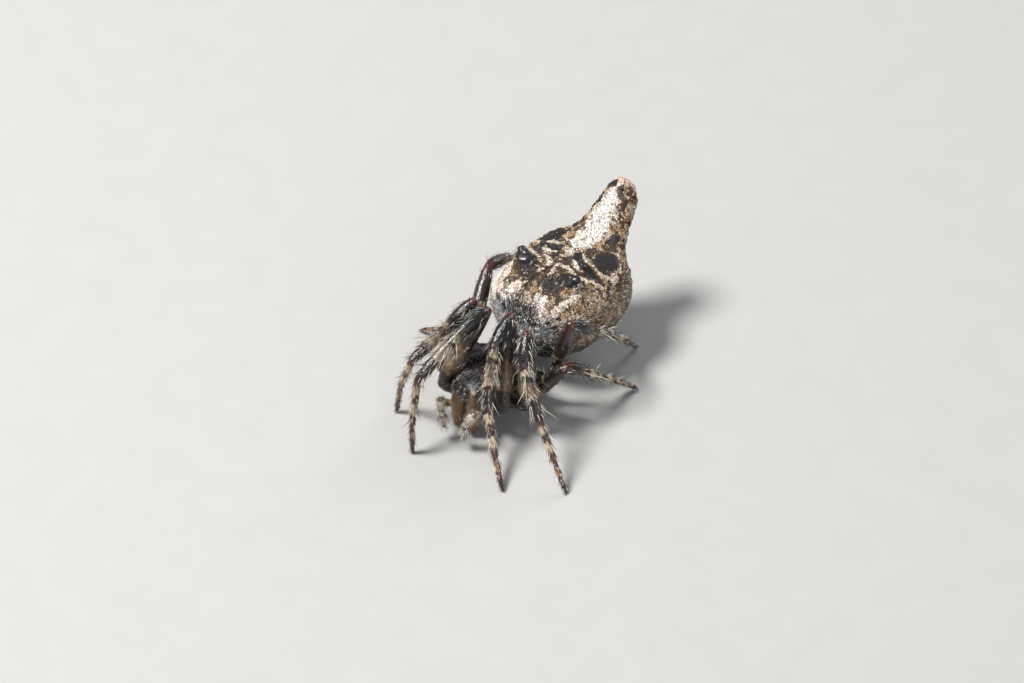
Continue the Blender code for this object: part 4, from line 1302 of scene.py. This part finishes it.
def mouth_coat(tubes, draw):
    """Pale bristles on the palps, longest at their ends, and a few on the chelicerae."""
    coat = Coat("hairs_mouthparts")
    for i, tube in enumerate(tubes):
        if tube.part == "endite":
            continue
        jaw = tube.part == "chelicera"
        number = int(tube.length * (JAW_HAIRS_PER_MM if jaw else PALP_HAIRS_PER_MM))
        share = draw.uniform(0.35 if jaw else 0.05, 1.0, number)
        angle = draw.uniform(-math.pi, math.pi, number)
        roots, out = tube.surface(share, angle)
        lift = np.radians(34 + draw.normal(0, 9, number)).clip(0.15, 1.3)
        leans = standing(tube.axis, out, lift) + draw.normal(0, 0.15, (number, 3))
        lengths = (0.14 + 0.05 * (tube.part == "palp_tarsus")) * draw.uniform(0.6, 1.3, number)
        widths = BODY_HAIR_WIDTH * draw.uniform(0.8, 1.2, number)
        tints = pick_colours(draw, number, ((5, PALE_HAIR), (3, WHITE_HAIR), (3, DARK_HAIR)))
        spots = map_places((i + share) / len(tubes), angle)
        coat.add(roots - out * ROOT_DEPTH, leans, tube.axis * 0.2, lengths, widths, tints, spots)
    return coat


FANG_WIDTH = 0.085
# Each claw's side and reach
CLAWS = ((-1, 0.085), (0, 0.055), (1, 0.085))
CLAW_WIDTH = 0.026
CLAW_TIP_HEIGHT = 0.004


def horn_shell(root, middle, tip, width, steps=9, sides=8):
    """A curved cone with a closed root and a sharp tip, bent towards its middle point."""
    root, middle, tip = (np.asarray(point, float) for point in (root, middle, tip))
    angles = np.linspace(0, 2 * math.pi, sides, endpoint=False)[:, None]
    rings = []
    for share in np.linspace(0, 0.97, steps):
        centre = root * (1 - share) ** 2 + middle * 2 * share * (1 - share) + tip * share**2
        heading = unit((middle - root) * (1 - share) + (tip - middle) * share)
        aside = unit(np.cross(heading, [0.3, 0.2, 1.0]))
        over = np.cross(aside, heading)
        around = np.cos(angles) * aside + np.sin(angles) * over
        rings.append(centre + around * width * 0.5 * (1 - share) ** 0.6)
    return ringed_shell(rings)


def add_horns(name, shells, material):
    points, faces = joined(shells)
    made = mesh_object(name, place(points), faces)
    write_attribute(made.data, "hair_colour", np.tile(DARK_RED, (len(points), 1)))
    made.data.materials.append(material)
    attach(made, "root")


def build_eyes():
    material = eye_material()
    for name, centre in EYES.items():
        for side in SIDES:
            points, faces = ball_shell(mirrored(centre, side), EYE_RADIUS, 40)
            lens = mesh_object("lens_%s_%s" % (name[4:], side), place(points), faces)
            lens.data.materials.append(material)
            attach(lens, "root")
            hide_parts("%s_%s" % (name, side))


def build_horns(legs):
    """A fang on each chelicera, folded inwards, and three claws on each foot, their tips just over the floor."""
    material = horn_material()
    for side in SIDES:
        jaw = chelicera_tube(side)
        inward = np.array([-SIDES[side], 0.0, 0.0])
        root = jaw.end - inward * 0.03 + jaw.axis * 0.02
        middle = jaw.end + jaw.axis * 0.13
        shell = horn_shell(root, middle, jaw.end + inward * 0.15 + jaw.axis * 0.09, FANG_WIDTH)
        add_horns("fang_" + side, [shell], material)
    for limb, tubes in legs.items():
        foot = tubes[-1]
        level = unit(foot.axis * [1, 1, 0])
        aside = np.cross(level, UP)
        shells = []
        for spread, reach in CLAWS:
            root = foot.end + aside * spread * 0.012
            middle = root + level * reach * 0.8 + aside * spread * 0.02
            tip = root + level * reach + aside * spread * 0.025
            tip[2] = CLAW_TIP_HEIGHT
            shells.append(horn_shell(root, middle, tip, CLAW_WIDTH))
        add_horns("claws_" + limb, shells, material)


def build_spider():
    legs = {"leg_%d_%s" % (pair, side): leg_tubes(pair, side) for pair in SEGMENT_LENGTHS for side in SIDES}
    mouth = [tube for side in SIDES for tube in palp_tubes(side) + [chelicera_tube(side)]]
    tubes = [tube for limb in legs.values() for tube in limb] + mouth
    skin, points, normals, faces, number = build_skin(tubes)
    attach(skin, "root")
    flesh = [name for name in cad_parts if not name.startswith("eye_")]
    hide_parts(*flesh)

    bristle = hair_material()
    for seed, (limb, leg) in enumerate(legs.items()):
        coat = Coat("bristles_" + limb)
        limb_coat(coat, leg, np.random.default_rng(100 + seed), int(limb[4]))
        coat.finish(bristle, "leg")
    loose = (number[faces] < 0).all(axis=1)
    behind = abdomen_local(points)[0][faces].min(axis=1) > WAIST_T
    abdomen_coat(points, normals, faces, loose & behind, np.random.default_rng(7)).finish(bristle, "abdomen")
    body_coat(points, normals, faces, loose & ~behind, np.random.default_rng(8)).finish(bristle, "carapace")
    mouth_coat(mouth, np.random.default_rng(9)).finish(bristle, "palp")
    build_eyes()
    build_horns(legs)


# Camera: a long lens at the photograph's angle, aimed so that the spider lies where it does there
AZIMUTH = math.radians(34.0)
ELEVATION = math.radians(42.0)
LENS = 200.0
SENSOR = 36.0
PIXELS_WIDE = 1024
PIXELS_PER_MM = 38.0
EYES_AT = np.array([0.0, 0.0, 1.60])
EYES_PIXEL = (463.0, 389.0)
PICTURE_MIDDLE = (512.0, 341.5)


def build_camera():
    right = np.array([math.cos(AZIMUTH), math.sin(AZIMUTH), 0.0])
    back = np.array([
        math.sin(AZIMUTH) * math.cos(ELEVATION),
        -math.cos(AZIMUTH) * math.cos(ELEVATION),
        math.sin(ELEVATION),
    ])
    up = np.cross(back, right)
    aim = EYES_AT + right * (PICTURE_MIDDLE[0] - EYES_PIXEL[0]) / PIXELS_PER_MM
    aim = aim + up * (EYES_PIXEL[1] - PICTURE_MIDDLE[1]) / PIXELS_PER_MM
    distance = PIXELS_WIDE / PIXELS_PER_MM * LENS / SENSOR
    data = bpy.data.cameras.new("camera")
    data.lens = LENS
    data.sensor_width = SENSOR
    data.clip_start = 0.001
    camera = bpy.data.objects.new("camera", data)
    bpy.context.scene.collection.objects.link(camera)
    turn = np.eye(4)
    turn[:3, 0], turn[:3, 1], turn[:3, 2] = right, up, back
    turn[:3, 3] = place(aim + back * distance)
    camera.matrix_world = Matrix(turn.tolist())
    bpy.context.scene.camera = camera


FLOOR_HALF = 0.35


def build_floor():
    half = FLOOR_HALF
    corners = np.array([[-half, -half, 0], [half, -half, 0], [half, half, 0], [-half, half, 0]])
    floor = mesh_object("floor", corners, [[0, 1, 2, 3]], smooth=False)
    floor.data.materials.append(floor_material())


def add_light(name, direction, distance, size, watts, colour):
    data = bpy.data.lights.new(name, "AREA")
    data.shape = "DISK"
    data.size = size
    data.energy = watts
    data.color = colour
    lamp = bpy.data.objects.new(name, data)
    bpy.context.scene.collection.objects.link(lamp)
    way = unit(direction)
    aside = unit(np.cross(UP, way))
    turn = np.eye(4)
    turn[:3, 0], turn[:3, 1], turn[:3, 2] = aside, np.cross(way, aside), way
    turn[:3, 3] = way * distance + [0, 0, 0.0015]
    lamp.matrix_world = Matrix(turn.tolist())


def build_lights():
    add_light("key", (-0.42, -0.28, 0.93), 0.16, 0.050, 0.44, (1.0, 0.99, 0.97))
    add_light("fill", (0.85, -0.45, 0.55), 0.20, 0.12, 0.09, (0.93, 0.96, 1.0))
    add_light("rim", (0.15, 0.95, 0.60), 0.20, 0.10, 0.12, (1.0, 1.0, 1.0))
    world = bpy.data.worlds.new("studio")
    world.use_nodes = True
    world.node_tree.nodes["Background"].inputs[0].default_value = (0.90, 0.93, 1.0, 1.0)
    world.node_tree.nodes["Background"].inputs[1].default_value = 0.28
    bpy.context.scene.world = world


build_camera()
build_spider()
build_floor()
build_lights()

bpy.context.scene.view_settings.view_transform = "Standard"
